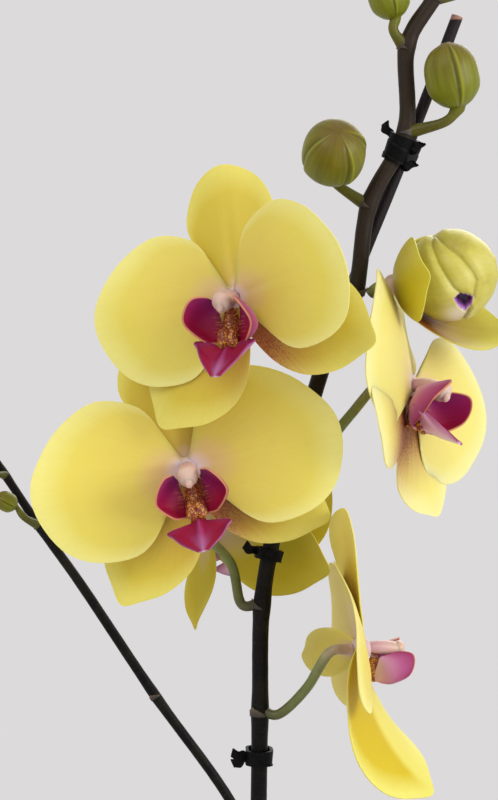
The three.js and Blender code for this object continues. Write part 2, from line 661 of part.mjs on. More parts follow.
// Places that run down into the bark: x, y and the radius of the hole for each.
const HOLES = [
  [0, 0, CROWN_RADIUS + GAP], [3, -13, SPIKE_RADIUS + 0.6], [-1, 13, SPIKE2_RADIUS + 0.6],
  [11.7, 16.6, STAKE_RADIUS + 0.9],
  ...Object.values(ROOTS).map((points) => [points.at(-1)[0], points.at(-1)[1], ROOT_RADIUS + 0.6]),
];

const potInner = (z) => lerp(POT_BASE_RADIUS, POT_RIM_RADIUS, z / POT_HEIGHT) - POT_WALL;

function bark() {
  const floor = POT_WALL + 2 + GAP;
  const edge = potInner(BARK_TOP - 4) - GAP;
  const fill = turned([
    [0, floor], [potInner(floor) - GAP, floor], [edge, BARK_TOP - 4], [edge - 4, BARK_TOP], [0, BARK_TOP], [0, floor],
  ], 28);
  const random = seeded(CHIP_SEED);
  const chips = [];
  while (chips.length < CHIP_COUNT) {
    const distance = 46 * Math.sqrt(random());
    const angle = 2 * Math.PI * random();
    const [x, y] = [distance * Math.cos(angle), distance * Math.sin(angle)];
    const piece = chip(random).translate(x, y, BARK_TOP + 1.6 * random());
    if (HOLES.every(([hx, hy, r]) => Math.hypot(x - hx, y - hy) > r + 9)) chips.push(piece);
  }
  const holes = HOLES.map(([x, y, r]) => toSolid(
    new THREE.CylinderGeometry(r, r, 60, 16).rotateX(Math.PI / 2).translate(x, y, 112),
  ));
  const whole = [fill, ...chips].map(toSolid).reduce((sum, solid) => sum.add(solid));
  return mainBody(holes.reduce((rest, hole) => rest.subtract(hole), whole));
}

function pot() {
  const rim = POT_RIM_RADIUS;
  return turned([
    [0, 0], [POT_BASE_RADIUS - 2, 0], [POT_BASE_RADIUS, 2], [rim - 2.6, POT_HEIGHT - 14], [rim, POT_HEIGHT - 12],
    [rim, POT_HEIGHT - 2], [rim - 1.4, POT_HEIGHT], [rim - POT_WALL + 1, POT_HEIGHT],
    [potInner(POT_HEIGHT - 2), POT_HEIGHT - 2], [potInner(POT_WALL + 2), POT_WALL + 2], [0, POT_WALL + 2], [0, 0],
  ], 28);
}

// ---- the plant ------------------------------------------------------------

const nodes = [
  ...Object.entries(BLOOMS).flatMap(([name, bloom]) => bloomParts(name, bloom)),
  ...halfOpenParts(),
  ...Object.entries(BUDS).map(([name, spec]) => part(name, 'bud', bud(spec, MAIN))),
  ...Object.entries(BUDS2).map(([name, spec]) => part(name, 'bud', bud(spec, SECOND))),
  part('spike_main', 'stem', spike(MAIN)),
  part('spike_second', 'stem', spike(SECOND)),
  part('stake', 'stake', stake()),
  part('tie_top', 'tape', tie(...TIES.tie_top, [[-5.4, 3.6, 40], [5.4, 2.4, -50], [5.2, -3.4, -30]])),
  part('tie_middle', 'tape', tie(...TIES.tie_middle, [[-5.4, 0.4, 20]])),
  part('tie_low', 'tape', tie(...TIES.tie_low, [[-5.6, 0.6, 10], [-5.4, -1, -25]])),
  ...Object.entries(LEAVES).map(([name, spec]) => part(name, 'leaf', leaf(spec))),
  part('crown', 'leaf', crown()),
  ...Object.entries(ROOTS).map(([name, points]) => part(name, 'root', root(points))),
  part('bark', 'bark', bark()),
  part('pot', 'pot', pot()),
];

const group = new THREE.Group();
group.name = 'potted_orchid';
group.add(...nodes);

export default group;
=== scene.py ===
# %% [markdown]
# # Potted moth orchid
#
# A moth orchid (Phalaenopsis) in a plain pot. Its dark flower spike leans on a wooden
# stake and carries five open blooms, a half-open one and closed buds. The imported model
# gives every piece its place; this lesson gives each one its fine shape and its finish.
# All sizes are written in millimetres and turned to metres when a mesh is made.

# %% Load the fixed frame
import math

import bmesh
import bpy
import numpy as np
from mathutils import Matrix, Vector


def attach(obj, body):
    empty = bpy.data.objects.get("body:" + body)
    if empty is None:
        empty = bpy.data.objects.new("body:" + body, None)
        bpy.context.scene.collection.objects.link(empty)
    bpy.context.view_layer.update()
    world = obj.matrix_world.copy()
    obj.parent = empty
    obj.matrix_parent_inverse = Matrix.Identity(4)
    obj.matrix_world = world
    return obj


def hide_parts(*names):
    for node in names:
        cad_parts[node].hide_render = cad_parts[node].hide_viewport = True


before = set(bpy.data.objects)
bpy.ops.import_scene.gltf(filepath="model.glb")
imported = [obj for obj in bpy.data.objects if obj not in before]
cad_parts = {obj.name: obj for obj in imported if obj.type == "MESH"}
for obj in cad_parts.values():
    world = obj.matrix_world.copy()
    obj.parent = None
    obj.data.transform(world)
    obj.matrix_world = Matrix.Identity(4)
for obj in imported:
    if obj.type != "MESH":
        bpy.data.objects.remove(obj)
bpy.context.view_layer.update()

MM = 0.001
print("CAD nodes loaded:", len(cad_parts))

# %% [markdown]
# ## Camera, floor and light
#
# The photograph looks at the blooms from straight in front, from about 60 cm away, with
# a long lens, so that the flowers keep their true shape. A photographer would light
# such a plant with large soft sources: a wide one from the upper left, a weaker one from
# the right and the pale room itself. A lit paper floor is enough of a studio, because
# the pale world stands for the wall behind.

# %% Camera
CAMERA_PLACE = (0.0, -0.600, 0.490)
CAMERA_LENS = 90


def show(data, name, place=(0, 0, 0), turn=(0, 0, 0)):
    """Puts data into the scene as an object."""
    made = bpy.data.objects.new(name, data)
    made.location, made.rotation_euler = place, turn
    bpy.context.scene.collection.objects.link(made)
    return made


def add_camera():
    data = bpy.data.cameras.new("camera")
    data.lens = CAMERA_LENS
    bpy.context.scene.camera = show(data, "camera", CAMERA_PLACE, (math.radians(90), 0, 0))


add_camera()
# The plain transfer curve keeps a hex shade as bright on screen as it is written here.
bpy.context.scene.view_settings.view_transform = "Standard"
print("camera at", CAMERA_PLACE)

# %% [markdown]
# ## Nodes and colours
#
# Finishes and repeated shapes are all built from nodes. One function adds a node, with
# its settings, its values and its links. A colour is written as the hex shade that a
# paint program shows, and turned to the linear light that the renderer counts in.

# %% A node and a colour
COLOUR = dict(out=2, data_type="RGBA")  # a Mix node that mixes colours, and its colour output
MULTIPLIED = dict(COLOUR, blend_type="MULTIPLY")


def linear(shade):
    """An sRGB hex colour as linear RGBA."""
    channels = [int(shade[i:i + 2], 16) / 255 for i in (0, 2, 4)]
    return tuple(c / 12.92 if c <= 0.04045 else ((c + 0.055) / 1.055) ** 2.4 for c in channels) + (1.0,)


def add(tree, kind, inputs=None, out=0, stops=None, **settings):
    """Adds a node with its settings, values and links, and gives back one of its outputs."""
    made = tree.nodes.new(kind)
    for name, value in settings.items():
        setattr(made, name, value)
    for name, value in (inputs or {}).items():
        socket = made.inputs[name]
        if isinstance(value, bpy.types.NodeSocket):
            tree.links.new(value, socket)
        else:
            socket.default_value = linear(value) if socket.type == "RGBA" else value
    if stops:
        elements = made.color_ramp.elements
        elements.remove(elements[1])
        elements[0].position, elements[0].color = stops[0][0], linear(stops[0][1])
        for place, shade in stops[1:]:
            elements.new(place).color = linear(shade)
    return made.outputs[out] if len(made.outputs) else made


def new_material(name):
    """An empty material, and add for its shader nodes, whose kinds are then named in short."""
    material = bpy.data.materials.new(name)
    material.use_nodes = True
    material.node_tree.nodes.clear()
    return material, lambda kind, *rest, **more: add(material.node_tree, "ShaderNode" + kind, *rest, **more)


print("petal yellow, linear:", [round(c, 3) for c in linear("E9DC5C")])

# %% What finishes have in common
def grown(node, vector, scale, **noise):
    """Noise stretched along a piece, for streaks, veins and grain."""
    stretched = node("Mapping", {"Vector": vector, "Scale": scale})
    return node("TexNoise", {"Vector": stretched, "Scale": 1.0, **noise})


def wavering(node, value, noise, width):
    """A value that wanders up and down with a noise, over a width."""
    wander = node("Math", {0: noise, 1: width, 2: -width / 2}, operation="MULTIPLY_ADD")
    return node("Math", {0: value, 1: wander}, operation="ADD")


def toned(node, colour, noise, darkest, lightest, low=0.3, high=0.7):
    """A colour made darker and lighter by a noise, whose values run from low to high."""
    shade = node("MapRange", {0: noise, 1: low, 2: high, 3: darkest, 4: lightest})
    return node("Mix", {0: 1.0, 6: colour, 7: shade}, **MULTIPLIED)


def coat(node, height, strength, depth, colour, roughness, more=None):
    """The end of a finish: fine relief of a depth in metres, the surface and the output."""
    bump = node("Bump", {"Height": height, "Strength": strength, "Distance": depth})
    surface = {"Base Color": colour, "Roughness": roughness, "Normal": bump, **(more or {})}
    node("OutputMaterial", {"Surface": node("BsdfPrincipled", surface)})


print("Mix settings for colours:", COLOUR)

# %% Floor, room and lamps
FLOOR_HALF = 1.4


def paper_floor():
    """Matt white paper: a quiet ground that throws soft light back up."""
    mesh = bpy.data.meshes.new("floor")
    corners = [(x * FLOOR_HALF, y * FLOOR_HALF, 0) for x, y in ((-1, -1), (1, -1), (1, 1), (-1, 1))]
    mesh.from_pydata(corners, [], [(0, 1, 2, 3)])
    floor = show(mesh, "floor")
    material, node = new_material("matt_white_paper")
    sheet = node("BsdfPrincipled", {"Base Color": "D9D8D8", "Roughness": 0.9})
    node("OutputMaterial", {"Surface": sheet})
    mesh.materials.append(material)


def pale_room(shade, strength):
    world = bpy.data.worlds.new("pale_room")
    bpy.context.scene.world = world
    world.use_nodes = True
    tree = world.node_tree
    tree.nodes.clear()
    glow = add(tree, "ShaderNodeBackground", {"Color": shade, "Strength": strength})
    add(tree, "ShaderNodeOutputWorld", {"Surface": glow})


def soft_lamp(name, place, aim, size, watts):
    data = bpy.data.lights.new(name, "AREA")
    data.shape, data.size, data.energy = "DISK", size, watts
    show(data, name, place, (Vector(aim) - Vector(place)).to_track_quat("-Z", "Y").to_euler())


paper_floor()
pale_room("DCDADB", 1.0)
soft_lamp("window", (-0.7, -1.1, 1.35), (0, 0, 0.45), 0.8, 5)
soft_lamp("right_window", (1.25, -0.75, 0.8), (0, 0, 0.45), 0.9, 12)
soft_lamp("back", (0.4, 1.1, 1.2), (0, 0, 0.5), 0.9, 6)
print("floor, room and three lamps set")

# %% [markdown]
# ## From points to pieces
#
# Three kinds of form make the plant. Stems follow a path, so Geometry Nodes sweep a ring
# along a curve. Petals and leaves are thin blades: a grid of middle points, shifted to
# both sides along its normals and walled round the edge, which keeps the thickness true
# however the blade bends. Buds, the column and the callus are lofts: rings of points
# skinned into one closed body. Every grid also carries its own measures as attributes,
# so that a material can follow the petal from claw to tip instead of the room.

# %% Smooth paths and steps
def smooth_path(points, shares):
    """Points on the smooth curve through points, at shares 0..1 of its spans, or at so many even ones."""
    shares = np.linspace(0, 1, shares) if np.ndim(shares) == 0 else np.asarray(shares, float)
    known = np.asarray(points, float)
    last = len(known) - 1
    padded = np.vstack([2 * known[0] - known[1], known, 2 * known[-1] - known[-2]])
    at = np.clip(shares * last, 0, last - 1e-9)
    index = at.astype(int)
    w = (at - index)[:, None]
    a, b, c, d = (padded[index + k] for k in range(4))
    leave, arrive = 0.5 * (c - a), 0.5 * (d - b)
    return b + leave * w + (3 * (c - b) - 2 * leave - arrive) * w**2 + (2 * (b - c) + leave + arrive) * w**3


def lerp(a, b, share):
    return a + (b - a) * share


def smoothstep(low, high, x):
    share = np.clip((np.asarray(x, float) - low) / (high - low), 0, 1)
    return share * share * (3 - 2 * share)


def hump(x, width):
    """1 at x = 0, fading out on both sides."""
    return np.exp(-(x / width) ** 2)


def unit(vectors):
    return vectors / np.maximum(np.linalg.norm(vectors, axis=-1, keepdims=True), 1e-9)


def vectors(*parts):
    """Coordinates of any shapes that fit together, as one array of vectors."""
    return np.stack(np.broadcast_arrays(*parts), -1)


def z_turn(degrees):
    c, s = math.cos(math.radians(degrees)), math.sin(math.radians(degrees))
    return np.array([[c, -s, 0], [s, c, 0], [0, 0, 1]])


def full_turn(count):
    return np.linspace(0, 2 * np.pi, count, endpoint=False)


print("a path's middle:", smooth_path([(0, 0, 0), (10, 0, 5), (20, 0, 0)], [0.5])[0])

# %% Shells: blades, lofts and lathed bodies
def grid_quads(rows, columns, start=0):
    corner = start + np.arange(rows - 1)[:, None] * columns + np.arange(columns - 1)[None, :]
    return vectors(corner, corner + columns, corner + columns + 1, corner + 1).reshape(-1, 4)


def blade(middle, thickness, marks, towards=None):
    """A thin closed shell round a grid of middle points; marks are its attributes.

    The attribute "face" is 1 on one side of the blade, the side that looks towards."""
    rows, columns, _ = middle.shape
    count = rows * columns
    normal = unit(np.cross(np.gradient(middle, axis=0), np.gradient(middle, axis=1)))
    shift = normal * (thickness[..., None] if np.ndim(thickness) else thickness) / 2
    sides = [(middle + shift).reshape(-1, 3), (middle - shift).reshape(-1, 3)]
    index = np.arange(count).reshape(rows, columns)
    rim = np.concatenate([index[:, 0], index[-1, 1:], index[-2::-1, -1], index[0, -2:0:-1]])
    following = np.roll(rim, -1)
    wall = vectors(rim, rim + count, following + count, following)[:, ::-1]
    faces = np.concatenate([grid_quads(rows, columns), grid_quads(rows, columns, count)[:, ::-1], wall])
    values = {name: np.concatenate([mark.reshape(-1, 3)] * 2) for name, mark in marks.items()}
    first_looks = towards is None or (sides[0] @ towards).mean() >= (sides[1] @ towards).mean()
    values["face"] = np.repeat([1.0, 0.0] if first_looks else [0.0, 1.0], count)[:, None] * np.ones(3)
    return outward(np.concatenate(sides), faces.tolist(), values)


def outward(points, faces, values):
    """The shell with its faces turned out, judged by its volume."""
    volume = 0.0
    for face in faces:
        a = points[face[0]]
        for j in range(1, len(face) - 1):
            volume += np.dot(a, np.cross(points[face[j]], points[face[j + 1]]))
    if volume < 0:
        faces = [face[::-1] for face in faces]
    return points, faces, values


def ring_frames(centres):
    """Two directions square to a path at each of its points, turned as little as possible."""
    tangent = unit(np.gradient(centres, axis=0))
    normal = np.array([0.31, -0.9, 0.2])
    normals = []
    for along in tangent:
        normal = unit(normal - along * np.dot(normal, along))
        normals.append(normal)
    normals = np.array(normals)
    return normals, np.cross(tangent, normals)


def skinned(rings, values):
    """A closed body from an array of rings of points."""
    count, sides, _ = rings.shape
    corner = np.arange(count - 1)[:, None] * sides + np.arange(sides)
    beside = np.arange(count - 1)[:, None] * sides + (np.arange(sides) + 1) % sides
    faces = vectors(corner, beside, beside + sides, corner + sides).reshape(-1, 4).tolist()
    faces += [list(range(sides))[::-1], list(range((count - 1) * sides, count * sides))]
    return outward(rings.reshape(-1, 3), faces, values)


def loft(centres, radii, sides, form=1.0):
    """A closed body round a path; form scales the radius of each ring's points."""
    normals, binormals = ring_frames(centres)
    angles = full_turn(sides)
    reach = np.asarray(radii)[:, None] * (np.ones((len(centres), sides)) * form)
    rings = centres[:, None] + (reach * np.cos(angles))[..., None] * normals[:, None]
    rings = rings + (reach * np.sin(angles))[..., None] * binormals[:, None]
    along = np.repeat(np.linspace(0, 1, len(centres)), sides)
    around = np.tile(angles, len(centres))
    return skinned(rings, {"loft": vectors(along, np.cos(around), np.sin(around))})


def lathe(profile, sides):
    """A closed body of revolution from a profile of (radius, height)."""
    radius, height = np.asarray(profile, float).T[:, :, None]
    angles = full_turn(sides)
    return skinned(vectors(radius * np.cos(angles), radius * np.sin(angles), height), {})


print("blade, loft and lathe are ready")

# %% Pieces from shells
SHARP_ANGLE = math.radians(58)


def new_mesh(name, points, faces, values):
    """A mesh object, with a vector attribute for each of the values."""
    mesh = bpy.data.meshes.new(name)
    mesh.from_pydata(points.tolist(), [], faces)
    for key, mark in values.items():
        data = mark.astype(np.float32).ravel()
        mesh.attributes.new(key, "FLOAT_VECTOR", "POINT").data.foreach_set("vector", data)
    return show(mesh, name)


def piece(name, shells, materials, slot, *nodes, place=np.eye(4)):
    """One object from shells of (points, faces, values) and a material number each."""
    points, faces, numbers, marks = [], [], [], {}
    start = 0
    for (shell, corners, values), number in shells:
        points.append((shell @ place[:3, :3].T + place[:3, 3]) * MM)
        faces += [[start + corner for corner in face] for face in corners]
        numbers += [number] * len(corners)
        for key, mark in values.items():
            marks.setdefault(key, []).append((start, mark))
        start += len(shell)
    values = {key: np.zeros((start, 3)) for key in marks}
    for key, known in marks.items():
        for first, mark in known:
            values[key][first:first + len(mark)] = mark
    made = new_mesh(name, np.concatenate(points), faces, values)
    for material in materials:
        made.data.materials.append(material)
    made.data.polygons.foreach_set("material_index", numbers)
    return settle(made, slot, *nodes)


def settle(made, slot, *nodes):
    """Smooths all but true edges, hangs the piece from the root and hides the imported parts that it stands
    for.
    """
    cage = bmesh.new()
    cage.from_mesh(made.data)
    for face in cage.faces:
        face.smooth = True
    for edge in cage.edges:
        edge.smooth = edge.calc_face_angle(0) < SHARP_ANGLE
    cage.to_mesh(made.data)
    cage.free()
    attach(made, "root")
    if nodes:
        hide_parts(*nodes)
    return made


# %% [markdown]
# ## The stem sweeper
#
# A spike, a flower stalk, a stake and a root are all a round section that follows a
# path, with its own thickness at each point. A curve with a bevel would do that too,
# but Geometry Nodes also let the same tree roughen the skin and keep the distance
# along the stem for the material. The radius of each curve point drives the section.

# %% The Geometry Nodes tree for stems
def new_group(name, output, inputs):
    """An empty Geometry Nodes tree with named inputs of given kinds, and those inputs."""
    tree = bpy.data.node_groups.new(name, "GeometryNodeTree")
    for title, kind in inputs.items():
        tree.interface.new_socket(title, in_out="INPUT", socket_type="NodeSocket" + kind)
    tree.interface.new_socket(output, in_out="OUTPUT", socket_type="NodeSocketGeometry")
    return tree, add(tree, "NodeGroupInput").node.outputs


def stem_tree():
    tree, given = new_group("swept_stem", "Stem", {
        "Path": "Geometry", "Sides": "Int", "Relief": "Float", "Relief size": "Float", "Finish": "Material"})
    share = add(tree, "GeometryNodeSplineParameter", out="Factor")
    marked = add(tree, "GeometryNodeStoreNamedAttribute",
                 {"Geometry": given["Path"], "Name": "along", "Value": share},
                 data_type="FLOAT", domain="POINT")
    section = add(tree, "GeometryNodeCurvePrimitiveCircle", {"Resolution": given["Sides"], "Radius": 1.0})
    girth = add(tree, "GeometryNodeInputRadius")
    skin = add(tree, "GeometryNodeCurveToMesh",
               {"Curve": marked, "Profile Curve": section, "Scale": girth, "Fill Caps": True})
    where = add(tree, "GeometryNodeInputPosition")
    grain = add(tree, "ShaderNodeTexNoise", {"Vector": where, "Scale": given["Relief size"], "Detail": 3.0})
    centred = add(tree, "ShaderNodeMath", {0: grain, 1: 0.5}, operation="SUBTRACT")
    height = add(tree, "ShaderNodeMath", {0: centred, 1: given["Relief"]}, operation="MULTIPLY")
    normal = add(tree, "GeometryNodeInputNormal")
    shift = add(tree, "ShaderNodeVectorMath", {0: normal, "Scale": height}, operation="SCALE")
    rough = add(tree, "GeometryNodeSetPosition", {"Geometry": skin, "Offset": shift})
    whole = add(tree, "GeometryNodeRealizeInstances", {"Geometry": rough})
    coated = add(tree, "GeometryNodeSetMaterial", {"Geometry": whole, "Material": given["Finish"]})
    add(tree, "NodeGroupOutput", {"Stem": coated})
    return tree


STEM_TREE = stem_tree()


def input_keys(tree):
    """The identifier of each input of a tree, by its name."""
    return {item.name: item.identifier for item in tree.interface.items_tree if item.in_out == "INPUT"}


def dress(source, tree, inputs):
    """Runs a Geometry Nodes tree on an object and gives back its plain mesh object."""
    modifier = source.modifiers.new("nodes", "NODES")
    modifier.node_group = tree
    keys = input_keys(tree)
    for name, value in inputs.items():
        modifier[keys[name]] = value
    bpy.context.view_layer.update()
    depsgraph = bpy.context.evaluated_depsgraph_get()
    mesh = bpy.data.meshes.new_from_object(source.evaluated_get(depsgraph), depsgraph=depsgraph)
    name = source.name
    source.modifiers.remove(modifier)
    bpy.data.objects.remove(source)
    mesh.name = name
    return show(mesh, name)


def swept(name, points, radii, finish, slot, sides=20, relief=0.0, relief_size=300.0):
    """A stem along points (mm) with a radius (mm) at each; it stands for the node of its name."""
    curve = bpy.data.curves.new(name, "CURVE")
    curve.dimensions = "3D"
    spline = curve.splines.new("POLY")
    spline.points.add(len(points) - 1)
    for spot, place, radius in zip(spline.points, points, radii):
        spot.co = (*[c * MM for c in place], 1)
        spot.radius = radius * MM
    stem = dress(show(curve, name), STEM_TREE, {
        "Sides": sides, "Relief": relief * MM, "Relief size": relief_size, "Finish": finish})
    return settle(stem, slot, name)


print("stem tree inputs:", list(input_keys(STEM_TREE)))

# %% [markdown]
# ## Finishes of the stems
#
# An orchid's spike is waxy plant skin, almost black with purple below and olive brown
# higher up, with a faint pale speckle. Flower stalks are the same skin in fresh green
# that turns pinkish where it meets the flower. The stake is split wood, stained dark,
# with grain along it and one bare, pale end.

# %% Stem, stalk and stake finishes
def spike_skin():
    """Near black wax with an olive tinge higher up: a dark, softly shining line to the eye."""
    material, node = new_material("waxy_plant_stem")
    place = node("TexCoord", out="Object")
    height = node("SeparateXYZ", {0: place}, out="Z")
    rise = node("MapRange", {0: height, 1: 0.42, 2: 0.56})
    ground = node("ValToRGB", {0: rise}, stops=[(0, "060404"), (0.5, "150E0C"), (1, "2E241A")])
    patch = node("TexNoise", {"Vector": place, "Scale": 90.0, "Detail": 4.0})
    olive = node("MapRange", {0: patch, 1: 0.5, 2: 0.72, 4: 0.35})
    tinted = node("Mix", {0: olive, 6: ground, 7: "2C2A18"}, **COLOUR)
    dots = node("TexVoronoi", {"Vector": place, "Scale": 1100.0})  # specks 0.9 mm apart
    speck = node("MapRange", {0: dots, 1: 0.28, 2: 0.12, 4: 0.14})
    skin = node("Mix", {0: speck, 6: tinted, 7: "5E5444"}, **COLOUR)
    fine = node("TexNoise", {"Vector": place, "Scale": 900.0, "Detail": 3.0})
    coat(node, fine, 0.2, 0.0002, skin, 0.5, {"Specular IOR Level": 0.15})
    return material


def stalk_skin():
    """Fresh green skin whose colour runs along the stalk: it ties the dark spike to the flower."""
    material, node = new_material("waxy_flower_stalk")
    along = node("Attribute", out="Fac", attribute_name="along")
    place = node("TexCoord", out="Object")
    streak = node("TexNoise", {"Vector": place, "Scale": 260.0, "Detail": 4.0})
    colour = node("ValToRGB", {0: wavering(node, along, streak, 0.16)}, stops=[
        (0.0, "3F3B22"), (0.12, "5C602F"), (0.5, "75803F"),
        (0.78, "8F8C5C"), (0.95, "C4A296"), (1.0, "D2B3A8")])
    skin = toned(node, colour, streak, 0.82, 1.12, high=0.75)
    coat(node, streak, 0.2, 0.0002, skin, 0.4, {"Subsurface Weight": 0.15, "Subsurface Scale": 0.002})
    return material


def stained_wood():
    """Dark stain with grain and one bare end: the stake reads as wood and stays in the background."""
    material, node = new_material("stained_split_wood")
    place = node("TexCoord", out="Object")
    grain = grown(node, place, (1600.0, 1600.0, 60.0), Detail=4.0)
    stain = node("ValToRGB", {0: grain}, stops=[(0.25, "0C0708"), (0.6, "1A1012"), (0.85, "2E1F1D")])
    height = node("SeparateXYZ", {0: place}, out="Z")
    cut = node("MapRange", {0: height, 1: 0.6046, 2: 0.6052})
    wood = node("Mix", {0: cut, 6: stain, 7: "A47668"}, **COLOUR)
    coat(node, grain, 0.5, 0.0003, wood, 0.6, {"Specular IOR Level": 0.25})
    return material


SPIKE_SKIN, STALK_SKIN, STAKE_WOOD = spike_skin(), stalk_skin(), stained_wood()
print("stem finishes:", SPIKE_SKIN.name, STALK_SKIN.name, STAKE_WOOD.name)

# %% [markdown]
# ## The spikes, the stake and the roots
#
# A moth orchid's spike is a round stem of about 5 mm that thickens a little at every
# node, where a bract sits and a flower stalk leaves. The nodes here have the same
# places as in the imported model, so that every stalk starts where it should. Aerial
# roots are thicker, grey-green and matt, because a spongy skin covers them.

# %% Paths of the stems
# Each point of a spike is x, y, z and 1 at a node.
SPIKE = [
    (3, -13, 88, 0), (3.2, -13.6, 128, 0), (4, -12, 170, 1), (3, -9, 215, 0), (2.2, -6, 262, 1),
    (2.4, -3, 310, 0), (2.7, 0, 352, 0), (3.3, 0, 396.4, 1), (3.9, 0, 428.5, 1), (8.6, 0, 455, 1),
    (15, 0, 476.5, 1), (24.3, 0, 506.5, 1), (32, 0, 523, 1), (36, 0, 548.5, 1), (46.9, 0, 570.6, 1),
    (47.4, 0, 596, 1), (55.6, 0, 611, 1), (60, 0, 624, 1), (61.6, 0, 636, 0), (61.4, 0, 642, 0)]
SPIKE2 = [
    (-1, 13, 88, 0), (-0.6, 14, 120, 0), (2, 22, 160, 1), (12, 38, 215, 0), (18, 58, 275, 1),
    (10, 72, 322, 0), (-6.5, 80, 354, 0), (-32, 83, 389, 1), (-57, 85, 426, 0), (-72.3, 86, 447.2, 1),
    (-83.6, 86, 464.3, 1), (-99, 84, 488, 1), (-110, 80, 513, 1), (-116, 76, 533, 0)]
STAKE = [
    (12, 17, 84), (9, 12, 200), (4.5, 5.2, 330), (2.9, 4.9, 385), (3.6, 4.9, 424), (5.9, 4.9, 444),
    (12.3, 4.9, 469), (20.7, 4.9, 496), (30.6, 4.9, 523.6), (47.3, 4.9, 565), (63, 4.9, 606)]
ROOTS = {
    "root_1": [(-6.8, -7.7, 109), (-17, -18, 117), (-27, -25, 113), (-32, -28, 102), (-32, -28, 88)],
    "root_2": [(7.3, -7.3, 107), (18, -19, 114), (25, -29, 111), (27, -35, 101), (27, -35, 88)],
    "root_3": [(-7.3, 7.3, 108), (-18, 18, 116), (-24, 29, 111), (-26, 35, 101), (-26, 35, 88)]}
MAIN = {"points": SPIKE, "radius": 2.45, "taper": 600}
SECOND = {"points": SPIKE2, "radius": 1.7, "taper": 420}
NODE_SWELL, NODE_LENGTH = 1.12, 0.13  # how much a node is thicker, and its length in spans
TIP_SHARES = [0.97, 0.93, 0.87, 0.78, 0.62, 0.3]  # the growing tip, as shares of the radius
GAP = 0.3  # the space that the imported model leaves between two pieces, in mm


def spike_radius(spike, height):
    return spike["radius"] * (1 - 0.5 * smoothstep(spike["taper"], spike["points"][-1][2], height))


def spike_stem(name, spike, steps_per_span=24):
    points = np.array(spike["points"], float)
    last = len(points) - 1
    shares = np.linspace(0, 1, steps_per_span * last + 1)
    path = smooth_path(points[:, :3], shares)
    radii = spike_radius(spike, path[:, 2])
    for number in np.flatnonzero(points[:, 3]):
        radii = radii * (1 + (NODE_SWELL - 1) * hump(shares * last - number, NODE_LENGTH))
    radii[-6:] *= TIP_SHARES
    return swept(name, path, radii, SPIKE_SKIN, "stem_dark", relief=0.18, relief_size=420.0)


spike_stem("spike_main", MAIN)
spike_stem("spike_second", SECOND)
print("two spikes with", sum(p[3] for p in SPIKE), "and", sum(p[3] for p in SPIKE2), "nodes")

# %% The stake and the roots
STAKE_STEPS, ROOT_STEPS = 121, 61
STAKE_RADIUS, ROOT_RADIUS, ROOT_LUMPS = 1.8, 2.3, 0.12


def velamen():
    """The spongy silver skin of a root, green where it is young: matt, pale and a little lumpy."""
    material, node = new_material("spongy_root_skin")
    place = node("TexCoord", out="Object")
    mottle = node("TexNoise", {"Vector": place, "Scale": 220.0, "Detail": 5.0})
    colour = node("ValToRGB", {0: mottle}, stops=[(0.3, "7F8A6A"), (0.55, "A9AD98"), (0.8, "C6C5B6")])
    coat(node, mottle, 0.4, 0.0004, colour, 0.75)
    return material


swept("stake", smooth_path(STAKE, STAKE_STEPS), [STAKE_RADIUS] * STAKE_STEPS, STAKE_WOOD, "stake_brown",
      sides=18, relief=0.3, relief_size=260.0)
ROOT_SKIN = velamen()
for name, points in ROOTS.items():
    girth = ROOT_RADIUS + ROOT_LUMPS * np.sin(np.linspace(0, 17, ROOT_STEPS))
    swept(name, smooth_path(points, ROOT_STEPS), girth, ROOT_SKIN, "root_silver", sides=18, relief=0.5)
print("stake and", len(ROOTS), "roots swept")

# %% [markdown]
# ## Bracts
#
# Every node carries a small dry scale, a bract, that clasps the stem and ends in a
# point. They are all alike, so one scale is made as a curved blade and Geometry Nodes
# set it on points, one for each node, turned to the stem and to the side where the
# flower stalk leaves. Realize Instances turns them into plain mesh at the end.

# %% Bract shape and finish
BRACT_THICK = 0.32


def dry_scale():
    """Papery brown with fibres: a small dull note at each node."""
    material, node = new_material("dry_bract_scale")
    grid = node("Attribute", out="Vector", attribute_name="blade")
    rise = node("SeparateXYZ", {0: grid}, out="X")
    place = node("TexCoord", out="Object")
    fibre = node("TexNoise", {"Vector": place, "Scale": 500.0, "Detail": 4.0})
    colour = node("ValToRGB", {0: wavering(node, rise, fibre, 0.3)},
                  stops=[(0.0, "2E261E"), (0.5, "4A3D30"), (1.0, "6E5C4B")])
    coat(node, fibre, 0.4, 0.0002, colour, 0.55)
    return material


def bract_shell(girth=2.62, tall=2.9, spread=100, rows=14, columns=19):
    """A pointed scale that clasps a stem along z and opens towards +x."""
    up = np.linspace(0, 1, rows)[:, None]
    across = np.linspace(-1, 1, columns)[None, :]
    angle = np.radians(spread) * across * (1 - up) ** 0.8
    reach = girth + 0.3 + 0.2 * up**1.6
    rise = tall * up * (1 - 0.12 * across**2) - 1.2
    middle = vectors(reach * np.cos(angle), reach * np.sin(angle), rise)
    return blade(middle, BRACT_THICK, {"blade": vectors(up, across, 0)})


